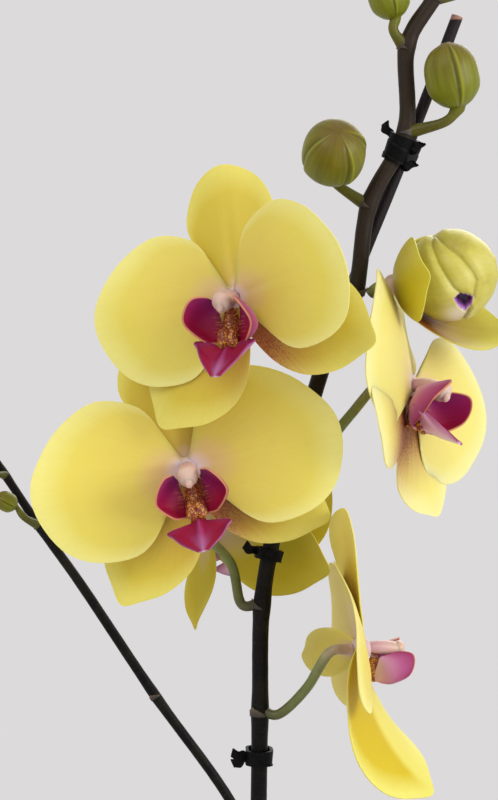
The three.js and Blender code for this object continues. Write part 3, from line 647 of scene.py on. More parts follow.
def bract_tree():
    tree, given = new_group("bracts_on_nodes", "Bracts", {
        "Nodes": "Geometry", "Scale piece": "Object", "Size": "Float", "Finish": "Material"})
    stem = add(tree, "GeometryNodeInputNamedAttribute", {"Name": "stem"}, data_type="FLOAT_VECTOR")
    side = add(tree, "GeometryNodeInputNamedAttribute", {"Name": "side"}, data_type="FLOAT_VECTOR")
    girth = add(tree, "GeometryNodeInputNamedAttribute", {"Name": "girth"}, data_type="FLOAT")
    turn = add(tree, "FunctionNodeAxesToRotation", {"Primary Axis": stem, "Secondary Axis": side},
               primary_axis="Z", secondary_axis="X")
    size = add(tree, "ShaderNodeMath", {0: girth, 1: given["Size"]}, operation="MULTIPLY")
    scale = add(tree, "GeometryNodeObjectInfo", {"Object": given["Scale piece"]}, out="Geometry")
    placed = add(tree, "GeometryNodeInstanceOnPoints",
                 {"Points": given["Nodes"], "Instance": scale, "Rotation": turn, "Scale": size})
    whole = add(tree, "GeometryNodeRealizeInstances", {"Geometry": placed})
    coated = add(tree, "GeometryNodeSetMaterial", {"Geometry": whole, "Material": given["Finish"]})
    add(tree, "NodeGroupOutput", {"Bracts": coated})
    return tree


BRACT_TREE = bract_tree()
print("a bract has", len(bract_shell()[1]), "faces")

# %% Bracts on both spikes
# The side of each bract, by the number of its point on the spike.
MAIN_SIDES = {
    7: (-1, -1, 0), 8: (-1, 0, 0), 9: (-1, -0.5, 0), 10: (1, -0.5, 0), 11: (-0.6, -1, 0), 12: (1, 0, 0),
    13: (-1, 0, 0), 14: (1, -0.6, 0), 15: (-1, 0, 0), 16: (1, 0, 0), 17: (-1, 0, 0)}
SECOND_SIDES = {9: (-1, -0.6, -0.4), 10: (-0.6, -1, 0.3), 11: (1, -0.5, 0.2)}


def bracts(name, spike, towards, single):
    """Scales at the spike's nodes; a bract without a given side is turned by its number."""
    points = np.array(spike["points"], float)
    numbers = np.flatnonzero(points[:, 3])
    stems = unit(points[numbers + 1, :3] - points[numbers - 1, :3])
    sides = np.array([towards.get(i, (-1 if i % 2 else 1, -1.2, 0)) for i in numbers], float)
    girths = spike_radius(spike, points[numbers, 2]) / MAIN["radius"]  # the one scale fits the main spike
    source = new_mesh(name, points[numbers, :3] * MM, [], {"stem": stems, "side": sides})
    source.data.attributes.new("girth", "FLOAT", "POINT").data.foreach_set("value", girths)
    made = dress(source, BRACT_TREE, {"Scale piece": single, "Size": 1.0, "Finish": BRACT_SCALE})
    return settle(made, "stem_dark")


BRACT_SCALE = dry_scale()
shape, faces, values = bract_shell()
one_scale = new_mesh("one_scale", shape * MM, faces, values)
bracts("bracts_main", MAIN, MAIN_SIDES, one_scale)
bracts("bracts_second", SECOND, SECOND_SIDES, one_scale)
bpy.data.objects.remove(one_scale)
print("bracts set on the nodes of both spikes")

# %% [markdown]
# ## Tepals
#
# The flower has three sepals behind and two broad petals in front, all waxy and about
# 0.8 mm thick, thinner at the edge. Each is a fan of rays from its claw out to its
# outline, bent forward or back along the midrib, cupped across it and slightly wavy at
# the edge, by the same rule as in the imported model. Finer ripples, a midrib and a
# groove along it are added here, since they show in the gloss of the wax.

# %% Outlines and poses of the tepals
def both_sides(half):
    return half + [(1, 0)] + [(x, -y) for x, y in reversed(half)]


PETAL_EDGE = [
    (0, 0.05), (0.1, 0.14), (0.15, 0.31), (0.27, 0.45), (0.52, 0.51), (0.77, 0.38), (0.94, 0.17), (1, 0),
    (0.97, -0.19), (0.85, -0.39), (0.66, -0.49), (0.4, -0.49), (0.24, -0.36), (0.14, -0.14), (0, -0.05)]
DORSAL_EDGE = both_sides([(0, 0.05), (0.15, 0.16), (0.38, 0.27), (0.62, 0.35), (0.83, 0.28), (0.95, 0.15)])
SEPAL_EDGE = both_sides([(0, 0.05), (0.15, 0.18), (0.38, 0.29), (0.6, 0.31), (0.8, 0.23), (0.93, 0.1)])
SEPAL = dict(wax=1, edge=SEPAL_EDGE, cup=-4, bend=-8, lift=-0.8)
PETAL = dict(edge=PETAL_EDGE, reach=45.6, cup=10, bend=-8, lift=1.2)
TEPALS = {
    "dorsal": dict(SEPAL, edge=DORSAL_EDGE, turn=88, reach=43),
    "sepal_l": dict(SEPAL, turn=229, reach=45, blush=0.5),
    "sepal_r": dict(SEPAL, turn=325, reach=44, blush=0.95),
    "petal_l": dict(PETAL, turn=175, side=-1, blush=0.1),
    "petal_r": dict(PETAL, turn=3, blush=0.14)}
# Where each bloom is, how it is turned and how its pieces differ from the table above.
BLOOMS = {
    "a": dict(
        at=(-3.6, -42, 518.7), face=-22, roll=12, size=0.9, lip=1.08, horn=6, lip_roll=-10,
        pose=dict(
            petal_r=dict(cup=24, turn=5), petal_l=dict(turn=178, reach=46.5),
            sepal_l=dict(turn=226, reach=48, cup=4, wide=1.12), sepal_r=dict(turn=330, reach=46, wide=1.15))),
    "b": dict(at=(-17.6, -24, 470.4), face=-1, roll=15, size=1, lip_roll=-2, pose={}),
    "c": dict(
        at=(47.1, -8, 494.4), face=58, roll=-22, size=1, lift=20, horn=8,
        pose=dict(
            dorsal=dict(turn=74, cup=-18, reach=38, wide=0.85),
            petal_r=dict(cup=7, turn=3, reach=46.5, wide=0.93),
            petal_l=dict(turn=171, cup=13, spin=-13, wide=1.06),
            sepal_l=dict(turn=218, cup=20, wide=1.25, blush=1), sepal_r=dict(turn=318, cup=5, wide=1.2))),
    "d": dict(
        at=(33.4, -8, 416.6), face=108, tilt=6, roll=22, size=0.97, lip=0.8, lift=60,
        pose=dict(
            dorsal=dict(turn=88, cup=-9, bend=2, spin=-2, wide=0.75, reach=47.5, wax=0),
            petal_l=dict(turn=138, cup=-19, spin=1), petal_r=dict(turn=341, cup=10.6),
            # One half of this sepal is painted paler: painted light.
            sepal_l=dict(turn=224, cup=-15, bend=56, reach=51, spin=28, twist=40, wide=1.08, blush=0.1,
                         painted_fold_light=0.8),
            sepal_r=dict(turn=330, cup=-20, reach=27, wide=0.9, wax=0))),
    "e": dict(
        at=(-12.2, 24, 450), face=163, roll=-20, size=0.88, lip=0.8,
        pose=dict(petal_r=dict(turn=20), sepal_l=dict(turn=217, reach=48),
                  sepal_r=dict(turn=297, reach=36, wide=0.6, spin=30)))}
HALF_OPEN = dict(at=(43.5, -4, 524.3), face=82, tilt=6)
print(len(BLOOMS), "open blooms of", len(TEPALS), "tepals")

# %% The shape of a tepal
CORE_THICK, RIM_THICK = 0.85, 0.36
WAVE = 0.9  # height of the ripples at the edge, in mm
TEPAL_RINGS, TEPAL_RAYS = 27, 61


def midrib(share, reach, cup, bend):
    """Distance out and forward along a midrib that bends evenly."""
    radius = reach / bend
    return (radius * (np.sin(cup + bend * share) - np.sin(cup)),
            radius * (np.cos(cup) - np.cos(cup + bend * share)))


def tepal(pose, tone):
    """One tepal in its flower's own frame: x right, y up, z towards the viewer."""
    t = np.linspace(0, 1, TEPAL_RAYS)
    s = np.linspace(0.06, 1, TEPAL_RINGS)[:, None]
    edge = smooth_path(pose["edge"], TEPAL_RAYS)
    reach = pose["reach"]
    cup, bend = math.radians(pose["cup"]), math.radians(pose["bend"])
    share = s * edge[:, 0]
    b = s * edge[:, 1] * reach * pose.get("wide", 1)
    wave = pose.get("wave", WAVE) * smoothstep(0.08, 0.45, share)
    curl = pose.get("cross", -0.1) * b * b / (reach * 0.4)
    curl = curl + wave * s**3 * np.sin(5 * np.pi * t + 0.6)
    curl = curl + 0.32 * wave * s**5 * np.sin(23 * t + 2.0 * reach)
    curl = curl - 0.4 * hump(b, 1.6) * np.clip(1 - share, 0, 1) * smoothstep(0.03, 0.2, share)
    curl = curl + 0.08 * np.sin(0.55 * b + 3 * share) * (1 - s * 0.4)
    twist = np.radians(pose.get("spin", 0) + pose.get("twist", 0) * share)
    wide = b * np.cos(twist) - curl * np.sin(twist)
    high = b * np.sin(twist) + curl * np.cos(twist)
    out, up = midrib(share, reach, cup, bend)
    lean = cup + bend * share
    flat = vectors(out - high * np.sin(lean), pose.get("side", 1) * wide,
                   up + high * np.cos(lean) + pose["lift"])
    thick = lerp(RIM_THICK, CORE_THICK, 1 - smoothstep(0.35, 1.0, s)) + 0 * share
    marks = {"fan": vectors(share, s * edge[:, 1], s),
             "tone": np.ones(share.shape + (3,)) * [pose.get("blush", 0), *tone]}
    return blade(flat @ z_turn(pose["turn"]).T, thick, marks, towards=(0, 0, 1))


def receptacle():
    """The small knob that all tepals grow from."""
    stations = smooth_path([(-3, 1.9), (-1.6, 3.1), (1, 3.3), (2.1, 2.4)], 13)
    return loft(vectors(0, 0, stations[:, 0]), stations[:, 1], 20)


print("a petal has", len(tepal(TEPALS["petal_l"], (0, 0))[1]), "faces")

# %% [markdown]
# ## The petal's wax
#
# A yellow moth orchid's petal is paler towards its edge, deeper in its middle and shows
# faint veins that fan out from the claw. The two lower sepals carry a red-brown blush
# and small flecks near the centre. The skin is waxy: light enters it, travels a
# millimetre and comes out warmer, so a little subsurface scattering is used. The
# pattern follows the fan attribute of each petal and not the room.

# %% Petal finish
NECK, BLUSH, FLECK = "CBAA9E", "8A3A22", "7A2A16"


def petal_wax(name, claw, base, middle, edge, vein, back):
    """Satin wax, pale at the rim and pinkish at the claw: the soft yellow glow of the flower."""
    material, node = new_material(name)
    fan = node("Attribute", out="Vector", attribute_name="fan")
    tone = node("Attribute", out="Vector", attribute_name="tone")
    side = node("Attribute", out="Fac", attribute_name="face")
    parts = node("SeparateXYZ", {0: fan}).node.outputs
    tones = node("SeparateXYZ", {0: tone}).node.outputs  # blush, a seed and the strength of painted light on one half
    place = node("TexCoord", out="Object")
    # Veins fan out from the claw, about 1 mm apart at the petal's middle.
    angle = node("Math", {0: parts["Y"], 1: parts["X"]}, operation="ARCTAN2")
    seed = node("Math", {0: tones["Y"], 1: 7.0}, operation="MULTIPLY")
    rays = node("CombineXYZ", {"X": angle, "Y": parts["X"], "Z": seed})
    streak = grown(node, rays, (34.0, 2.4, 1.0), Scale=1.6, Detail=3.0, Roughness=0.55)
    # Clouds of about 20 mm, as the pigment is never quite even.
    cloud = node("TexNoise", {"Vector": place, "Scale": 50.0, "Detail": 3.0})
    reach = wavering(node, parts["Z"], cloud, 0.16)
    wax = node("ValToRGB", {0: reach},
               stops=[(0.07, claw), (0.17, base), (0.36, middle), (0.8, middle), (0.97, edge)])
    veins = node("MapRange", {0: streak, 1: 0.44, 2: 0.72, 4: 0.07})
    veined = node("Mix", {0: veins, 6: wax, 7: vein}, **COLOUR)
    # The blush is on the front only, strongest near the claw and a little patchy.
    near = node("MapRange", {0: parts["X"], 1: 0.85, 2: 0.2}, interpolation_type="SMOOTHSTEP")
    shown = node("Math", {0: near, 1: tones["X"]}, operation="MULTIPLY")
    patchy = node("MapRange", {0: streak, 1: 0.3, 2: 0.7, 3: 0.8, 4: 1.0})
    blushed = node("Math", {0: shown, 1: patchy}, operation="MULTIPLY")
    faced = node("Math", {0: blushed, 1: side}, operation="MULTIPLY")
    warmth = node("Math", {0: faced, 1: 1.05}, operation="MULTIPLY", use_clamp=True)
    warm = node("Mix", {0: warmth, 6: veined, 7: BLUSH}, **COLOUR)
    # Flecks up to about 0.5 mm, crowded where the blush is strong.
    dots = node("TexVoronoi", {"Vector": place, "Scale": 1700.0})
    strong = node("MapRange", {0: faced, 1: 0.3, 2: 0.8})
    limit = node("Math", {0: strong, 1: 0.5}, operation="MULTIPLY")
    dot = node("Math", {0: dots, 1: limit}, operation="LESS_THAN")
    fleck = node("Math", {0: dot, 1: 0.6}, operation="MULTIPLY")
    flecked = node("Mix", {0: fleck, 6: warm, 7: FLECK}, **COLOUR)
    rear = node("ValToRGB", {0: reach}, stops=[(0.1, NECK), (0.5, back), (1.0, back)])
    behind = node("Mix", {0: 0.6, 6: veined, 7: rear}, **COLOUR)
    both = node("Mix", {0: side, 6: behind, 7: flecked}, **COLOUR)
    # Painted light: a sepal is made paler on one side of its midrib, as the lit half of a lengthwise fold
    # would be.
    half = node("MapRange", {0: parts["Y"], 1: -0.01, 2: 0.04})
    painted_fold_light = node("Math", {0: half, 1: tones["Z"]}, operation="MULTIPLY")
    colour = node("Mix", {0: painted_fold_light, 6: both, 7: edge}, **COLOUR)
    # Cells of about 0.7 mm give the wax its faint sparkle.
    cells = node("TexNoise", {"Vector": place, "Scale": 1500.0, "Detail": 2.0})
    grain = node("Math", {0: cells, 1: 0.3}, operation="MULTIPLY")
    relief = node("Math", {0: streak, 1: grain}, operation="ADD")
    coat(node, relief, 0.12, 0.0002, colour, 0.5, {
        "IOR": 1.42, "Subsurface Weight": 0.3, "Subsurface Scale": 0.002,
        "Subsurface Radius": (1.0, 0.75, 0.2)})
    return material


# Colours of the claw, base, middle, edge, veins and back.
PETAL_WAX = petal_wax("waxy_yellow_petal", "E6D0D4", "E0C483", "E3D25C", "ECE184", "CDB841", "D4C25E")
SEPAL_WAX = petal_wax("waxy_yellow_sepal", "D8BFA8", "CDB650", "D0BC3C", "DFD164", "B89D2C", "C8B147")
# A copy with painted light: paler and brighter all over.
PAINTED_LIGHT_WAX = petal_wax("waxy_petal_in_full_light", "E4CFD0", "E6D28C", "E8DA76", "EDE498", "D8C85A", "E0CF6C")
# A copy with a painted glow, as of light shining through a sepal.
PAINTED_GLOW_WAX = petal_wax("waxy_sepal_with_light_behind",
                        "CDB48E", "D2B62C", "CDB408", "E2D868", "BCA206", "CCB814")
# A darker copy with painted shade.
PAINTED_SHADE_WAX = petal_wax("waxy_petal_seen_from_behind",
                     "B9A86E", "AA9A34", "C2B224", "D2C550", "A09426", "B0A118")
GREEN_WAX = petal_wax("waxy_green_sepal", "9E8A44", "AA9E34", "BCB02C", "D0C850", "8A7E28", "AAA012")
# A bloom has two waxes, and the number in a tepal's pose chooses one. Bloom C gets a wax
# with painted light, a sepal of D a wax with a painted glow of light shining through it,
# and E, which turns its back behind the stem, a darker wax with painted shade.
WAXES = {"c": [PAINTED_LIGHT_WAX, PAINTED_LIGHT_WAX], "d": [PETAL_WAX, PAINTED_GLOW_WAX], "e": [PAINTED_SHADE_WAX, PAINTED_SHADE_WAX]}
print("petal finishes:", PETAL_WAX.name, PAINTED_LIGHT_WAX.name, PAINTED_SHADE_WAX.name)

# %% Open tepals of every bloom
def flower_frame(bloom):
    """Places a flower's own frame in the plant's, as a 4 x 4 matrix."""
    turn, up = (math.radians(bloom.get(key, 0)) for key in ("face", "tilt"))
    z = np.array([math.sin(turn) * math.cos(up), -math.cos(turn) * math.cos(up), math.sin(up)])
    x = np.array([math.cos(turn), math.sin(turn), 0.0])
    axes = np.stack([x, np.cross(z, x), z], 1) @ z_turn(bloom.get("roll", 0))
    place = np.eye(4)
    place[:3, :3] = axes * bloom.get("size", 1)
    place[:3, 3] = bloom["at"]
    return place


for name, bloom in BLOOMS.items():
    shells = [(receptacle(), 0)]
    for number, (kind, pose) in enumerate(TEPALS.items()):
        pose = {**pose, **bloom["pose"].get(kind, {})}
        seed = number + 5 * ord(name)
        shells.append((tepal(pose, (seed, pose.get("painted_fold_light", 0))), pose.get("wax", 0)))
    tepals = f"bloom_{name}_tepals"
    waxes = WAXES.get(name, [PETAL_WAX, SEPAL_WAX])
    made = piece(tepals, shells, waxes, "petal_yellow", tepals, place=flower_frame(bloom))
    print(made.name, len(made.data.polygons), "faces")

# %% [markdown]
# ## The lip and the column
#
# The lip is the flower's landing place: two side lobes that stand up like ears, a
# yellow callus between them with red-brown bars, and a middle lobe that runs forward
# and down to a point between two horns. Above it sits the column, a pale club with a
# small beak and a cap over the pollen. The lobes are blades; the callus and the column
# are lofts, because they are thick.

# %% Lip shapes
LOBE_ROOT = [(2, -13, 4.5), (2.4, -9.5, 4.5), (3.3, -5, 5), (3.4, -2.6, 5.4)]
LOBE_RIM = [(2.5, -13.6, 6), (6.2, -13, 9.5), (9.4, -8.8, 14.5), (8.6, -4.4, 17.5), (5.8, -1.2, 17.5),
            (4, -0.7, 12.5), (3.6, -1.6, 8)]
LOBE_THICK, STRAP_THICK, THINNER = 0.95, 1.05, 0.45  # in the middle, and how much less at the edge
# Half the middle lobe's width in mm, by shares of its length.
STRAP = [(0, 2.2), (0.25, 2.3), (0.42, 4.8), (0.58, 9.2), (0.7, 8), (0.85, 5.8), (1, 1.6)]
HINGE = np.array([0, -13.2, 4.6])
HORN = 2.4  # how far its wing tips rise, unless a bloom says otherwise
# Stations of (y, radius, z) for the lip's foot and one lump of the knob at its end.
FOOT = [(-3.6, 1.6, 4.7), (-8, 2.5, 4.4), (-13.6, 2.5, 4.4)]
KNOB = [(-9.2, 0.7, 7), (-10.4, 1.5, 7.3), (-12, 1.75, 7.6), (-13.6, 1.6, 7.4), (-15, 0.6, 7)]
KNOB_SHIFT, KNOB_LUMPS = 1.25, 0.1


def side_lobe(side, rows=30, columns=48):
    """A paddle from its root by the callus to its rim, which swells out and curls forward."""
    u = np.linspace(0, 1, rows)[:, None, None]
    v = np.linspace(0, 1, columns)
    root, rim = smooth_path(LOBE_ROOT, columns), smooth_path(LOBE_RIM, columns)
    swell = vectors(rim[:, 0] + 2.8 * np.sin(np.pi * v), lerp(root[:, 1], rim[:, 1], 0.4),
                    lerp(root[:, 2], rim[:, 2], 0.16))
    points = root * (1 - u) ** 2 + swell * 2 * u * (1 - u) + rim * u**2
    u, v = u[..., 0], v[None, :]
    points[..., 0] += 0.16 * u**2 * np.sin(21 * v) + 0.5 * u**8 * np.sin(np.pi * v)
    points[..., 0] *= side
    thick = LOBE_THICK - THINNER * smoothstep(0.3, 1, u) + 0 * v
    return blade(points, thick, {"lobe": vectors(u, v, 0)}, towards=(-side, 0, 0))


def middle_lobe(lift, horn, rows=48, columns=35):
    """The strap that widens to two wing tips, hinged up by lift degrees about its foot."""
    outline = smooth_path(STRAP, rows)
    s, w = outline[:, :1], outline[:, 1:]
    t = np.linspace(-1, 1, columns)[None, :]
    raised = horn * np.maximum(0, np.sin(np.pi * (s - 0.25) / 0.75))
    keel = 0.9 * hump(w * t, 0.9) * np.sin(np.pi * s)
    points = vectors(w * t, HINGE[1] - 9.9 * s + raised * t * t + 0.6 * keel,
                     HINGE[2] + 13 * s - 0.4 * raised * t * t + 0.8 * keel)
    c, k = math.cos(-math.radians(lift)), math.sin(-math.radians(lift))
    points = (points - HINGE) @ np.array([[1, 0, 0], [0, c, -k], [0, k, c]]).T + HINGE
    thick = STRAP_THICK - THINNER * np.abs(t) + 0 * s
    return blade(points, thick, {"lobe": vectors(s, 0.5 + 0.5 * t, 1)}, towards=(0, 0, 1))


def rope(stations, steps, sides, shift=0.0, rough=0.0):
    """A loft through stations of (y, radius, z); shift sets it aside, rough makes it lumpy."""
    line = smooth_path(stations, steps)
    lumps = rough * np.sin(3 * full_turn(sides) + shift)[None, :] * np.sin(np.linspace(0, 13, steps))[:, None]
    return loft(vectors(shift, line[:, 0], line[:, 2]), line[:, 1], sides, 1 + lumps)


def callus():
    """The lip's foot under the column and the two lumps of the knob at its end."""
    lumps = [rope(KNOB, 24, 20, shift, KNOB_LUMPS) for shift in (-KNOB_SHIFT, KNOB_SHIFT)]
    return [rope(FOOT, 20, 16), *lumps]


print("lip shapes:", len(side_lobe(1)[1]), len(middle_lobe(0, HORN)[1]), "faces")

# %% Finishes of the lobes
def lobe_skin():
    """Magenta inside with a violet top, rose outside, a thin orange rim: the flower's strongest colour."""
    material, node = new_material("velvety_magenta_side_lobe")
    lobe = node("Attribute", out="Vector", attribute_name="lobe")
    side = node("Attribute", out="Fac", attribute_name="face")
    parts = node("SeparateXYZ", {0: lobe}).node.outputs
    place = node("TexCoord", out="Object")
    # Streaks about 0.7 mm wide run from the root to the rim.
    streak = grown(node, lobe, (3.0, 34.0, 1.0), Detail=3.0, Distortion=0.9)
    cloud = node("TexNoise", {"Vector": place, "Scale": 250.0, "Detail": 3.0})
    body = node("ValToRGB", {0: parts["Y"]},
                stops=[(0.0, "A80E38"), (0.3, "A60C3E"), (0.6, "98185C"), (1.0, "842C78")])
    shaded = toned(node, body, streak, 0.9, 1.08, low=0.35)
    # The pale root reaches out between the streaks, which gives it a toothed edge.
    tooth = node("Math", {0: streak, 1: 0.5, 2: -0.24}, operation="MULTIPLY_ADD")
    torn = node("Math", {0: parts["X"], 1: tooth}, operation="ADD")
    pale = node("MapRange", {0: torn, 1: 0.15, 2: 0.05, 4: 0.85})
    line = node("MapRange", {0: streak, 1: 0.37, 2: 0.45})
    root = node("Mix", {0: line, 6: "C47A40", 7: "7A1428"}, **COLOUR)
    inside = node("Mix", {0: pale, 6: shaded, 7: root}, **COLOUR)
    outside = node("ValToRGB", {0: parts["X"]},
                   stops=[(0.0, "DCC0D2"), (0.35, "CC94B6"), (0.7, "B0588C"), (1.0, "92245C")])
    both = node("Mix", {0: side, 6: outside, 7: inside}, **COLOUR)
    rim = node("MapRange", {0: parts["X"], 1: 0.975, 2: 0.995})
    rimmed = node("Mix", {0: rim, 6: both, 7: "CB8866"}, **COLOUR)
    coat(node, cloud, 0.2, 0.0002, rimmed, 0.5, {
        "Specular IOR Level": 0.25, "Subsurface Weight": 0.15, "Subsurface Scale": 0.001,
        "Sheen Weight": 0.06, "Sheen Roughness": 0.4})
    return material


def strap_skin():
    """Magenta red with a pale violet keel and underside: it draws a line down the lip."""
    material, node = new_material("velvety_magenta_middle_lobe")
    lobe = node("Attribute", out="Vector", attribute_name="lobe")
    side = node("Attribute", out="Fac", attribute_name="face")
    parts = node("SeparateXYZ", {0: lobe}).node.outputs
    centred = node("Math", {0: parts["Y"], 1: 0.5}, operation="SUBTRACT")
    away = node("Math", {0: centred}, operation="ABSOLUTE")
    place = node("TexCoord", out="Object")
    cloud = node("TexNoise", {"Vector": place, "Scale": 260.0, "Detail": 4.0})  # 4 mm clouds
    off = wavering(node, away, cloud, 0.1)
    above = node("ValToRGB", {0: off},
                 stops=[(0.0, "A84074"), (0.06, "9A1C4A"), (0.36, "981236"), (0.5, "86204E")])
    # The middle turns violet white towards the point.
    tip = node("MapRange", {0: parts["X"], 1: 0.55, 2: 0.95})
    central = node("MapRange", {0: off, 1: 0.22, 2: 0.02})
    violet = node("Math", {0: tip, 1: central}, operation="MULTIPLY")
    faded = node("Math", {0: violet, 1: 0.45}, operation="MULTIPLY")
    tipped = node("Mix", {0: faded, 6: above, 7: "B890C8"}, **COLOUR)
    below = node("ValToRGB", {0: off}, stops=[(0.0, "EBD5E2"), (0.2, "D7A6C2"), (0.5, "A85A8E")])
    colour = node("Mix", {0: side, 6: below, 7: tipped}, **COLOUR)
    coat(node, cloud, 0.25, 0.0003, colour, 0.46, {
        "Specular IOR Level": 0.3, "Subsurface Weight": 0.15, "Subsurface Scale": 0.001})
    return material


print("lobe finishes written")

# %% Finishes of the callus and the column
def callus_skin():
    """Glossy yellow with crooked red-brown bars: the busy spot that the eye finds first."""
    material, node = new_material("waxy_yellow_callus")
    place = node("TexCoord", out="Object")
    # The bars are about 0.4 mm wide and bend with a noise of 1.5 mm.
    cloud = node("TexNoise", {"Vector": place, "Scale": 700.0, "Detail": 2.0}, out="Color")
    bent = node("VectorMath", {0: cloud, 1: (0.003, 0.003, 0.003), 2: place}, operation="MULTIPLY_ADD")
    cells = node("TexVoronoi", {"Vector": bent, "Scale": 1300.0, "Randomness": 0.9})
    bar = node("MapRange", {0: cells, 1: 0.34, 2: 0.46, 4: 0.9})
    colour = node("Mix", {0: bar, 6: "DDA23C", 7: "7C1626"}, **COLOUR)
    coat(node, cells, 0.3, 0.0002, colour, 0.38, {"Subsurface Weight": 0.2, "Subsurface Scale": 0.001})
    return material


def column_skin():
    """Waxy white with a breath of pink at its foot: the lightest spot of the flower."""
    material, node = new_material("waxy_white_column")
    ring = node("Attribute", out="Vector", attribute_name="loft")
    along = node("SeparateXYZ", {0: ring}, out="X")
    place = node("TexCoord", out="Object")
    cloud = node("TexNoise", {"Vector": place, "Scale": 350.0, "Detail": 3.0})  # 3 mm clouds
    shifted = node("Math", {0: cloud, 1: 0.25, 2: along}, operation="MULTIPLY_ADD")
    colour = node("ValToRGB", {0: shifted},
                  stops=[(0.1, "BE8E98"), (0.4, "CDA4A6"), (0.75, "D4B0A0"), (1.0, "DCBCA8")])
    coat(node, cloud, 0.15, 0.0002, colour, 0.38, {"Subsurface Weight": 0.3, "Subsurface Scale": 0.0015})
    return material


LIP_FINISHES = [lobe_skin(), strap_skin(), callus_skin()]
COLUMN_SKIN = column_skin()
print("lip and column finishes:", [m.name for m in LIP_FINISHES], COLUMN_SKIN.name)

# %% Lips and columns of every bloom
# The club, the cap and the beak: z and radius, share and radius, and points.
CLUB = [(2.4, 2.1), (5, 2.5), (8, 2.8), (11, 2.9), (12.6, 2.3), (13.2, 0.8)]
CAP = [(0, 0.4), (0.12, 2.0), (0.42, 3.0), (0.75, 2.5), (1, 0.5)]
BEAK = [(0, -2.8, 12.2), (0, -3.6, 12.9), (0, -4.4, 12.8), (0.1, -5, 12.2)]
CLUB_SIDES, BEAK_STEPS, BEAK_RADIUS = 28, 20, 1.6
LIP_FOOT = np.array([0, -3, 3.5])  # a lip grows and shrinks about this point


def column_shells(bloom):
    """The club of the column, the cap over the pollen and a small hooked beak."""
    size = min(1, bloom.get("lip", 1))
    z, r = smooth_path(CLUB, 48).T
    waist = 1 - 0.03 * hump(z - 10.2, 0.4)[:, None] * np.ones(CLUB_SIDES)
    club = loft(vectors(0, -0.018 * z * z, z), r * size, CLUB_SIDES, waist)
    share, radius = smooth_path(CAP, 22).T
    blunt = BEAK_RADIUS * np.sqrt(1 - 0.99 * np.linspace(0, 1, BEAK_STEPS) ** 2) * size
    tips = [loft(vectors(0, -1.3 - 1.5 * share, 10.0 + 4.2 * share), radius * size, 26),
            loft(smooth_path(BEAK, BEAK_STEPS), blunt, 16)]
    for _, _, values in tips:
        values["loft"][:, 0] = 0.65 + 0.2 * values["loft"][:, 0]
    turn = z_turn(bloom.get("lip_roll", 0))
    return [((points @ turn.T, faces, values), 0) for points, faces, values in [club, *tips]]


def lip_shells(bloom):
    size, turn = bloom.get("lip", 1), z_turn(bloom.get("lip_roll", 0))
    middle = middle_lobe(bloom.get("lift", 0), bloom.get("horn", HORN))
    shells = [(side_lobe(-1), 0), (side_lobe(1), 0), (middle, 1)] + [(lump, 2) for lump in callus()]
    return [((((points - LIP_FOOT) * size + LIP_FOOT) @ turn.T, faces, values), number)
            for (points, faces, values), number in shells]


for name, bloom in BLOOMS.items():
    lip, column, place = f"bloom_{name}_lip", f"bloom_{name}_column", flower_frame(bloom)
    piece(lip, lip_shells(bloom), LIP_FINISHES, "lip_magenta", lip, place=place)
    piece(column, column_shells(bloom), [COLUMN_SKIN], "column_white", column, place=place)
print("lips and columns of", len(BLOOMS), "blooms")

# %% [markdown]
# ## Flower stalks
#
# Each stalk leaves its node square to the spike, sags a little under the flower and
# meets the back of the flower along the flower's own axis. It is swept by the same
# tree as the spikes; its colour runs along it from olive to the pinkish neck.

# %% Stalks from node to flower
SUNK = 2.2  # a stalk starts this far inside its spike, in mm, so that it grows out of it
RELIEF_ROOM = 0.4  # room for the lumps of a skin
FLOWER_BACK = 3.2  # the depth of a flower behind its middle
STALK_STEPS, STALK_RADIUS = 61, 1.5
SHORT_STALK = 8  # a stalk of so few millimetres has no room for the sag and runs almost straight


def leaving(spike, node, towards):
    """Where a stalk leaves a node's skin, on the side of a point."""
    before, at, after = (np.array(spike["points"][node + k][:3], float) for k in (-1, 0, 1))
    along = unit(after - before)
    away = np.asarray(towards, float) - at
    away = unit(away - along * np.dot(away, along))
    return at + away * (spike_radius(spike, at[2]) * NODE_SWELL + GAP + RELIEF_ROOM), away


def flower_stalk(name, bloom, node, sag, side=None):
    place = flower_frame(bloom)
    back = place[:3, :3] @ np.array([0, 0, -FLOWER_BACK - GAP]) + place[:3, 3]
    axis = unit(place[:3, 2])
    start, away = leaving(MAIN, node, side if side else back)
    span = np.linalg.norm(back - start)
    foot, bend = start + away * min(3, 0.2 * span), lerp(start, back, 0.45) - np.array([0, 0, sag])
    knots = [start - SUNK * away, foot, bend, back - axis * min(7, 0.3 * span), back]
    path = smooth_path(knots[1::2] + [back] if span < SHORT_STALK else knots, STALK_STEPS)
    share = np.linspace(0, 1, STALK_STEPS)
    radii = STALK_RADIUS * (1 + 0.22 * hump(share, 0.07) + 0.2 * hump(1 - share, 0.08))
    return swept(name, path, radii, STALK_SKIN, "stalk_green", sides=18, relief=0.16, relief_size=350.0)


flower_stalk("bloom_a_stalk", BLOOMS["a"], 11, 3)
flower_stalk("bloom_b_stalk", BLOOMS["b"], 9, 3)
flower_stalk("bloom_c_stalk", BLOOMS["c"], 10, -1)
flower_stalk("bloom_d_stalk", BLOOMS["d"], 7, 1)
flower_stalk("bloom_e_stalk", BLOOMS["e"], 8, -2, side=(-60, 6, 428.5))
flower_stalk("half_open_stalk", HALF_OPEN, 12, 0)
print("six flower stalks")

# %% [markdown]
# ## The half-open bloom and the buds
#
# In the half-open flower the petals still close over the lip like a ball, with the
# seams of their edges running over it, and three greener sepals have begun to open. A
# closed bud shows its three sepals edge over edge. Both are lofts whose rings dip at
# the seams and rise a little where one edge lies on the next.

# %% Borders of the closed petals
BALL_AXIS = [(2.4, 2), (5.6, 7.4), (11, 11.8), (17, 12.9), (23, 11.4), (28, 7), (30.6, 2)]  # z and radius
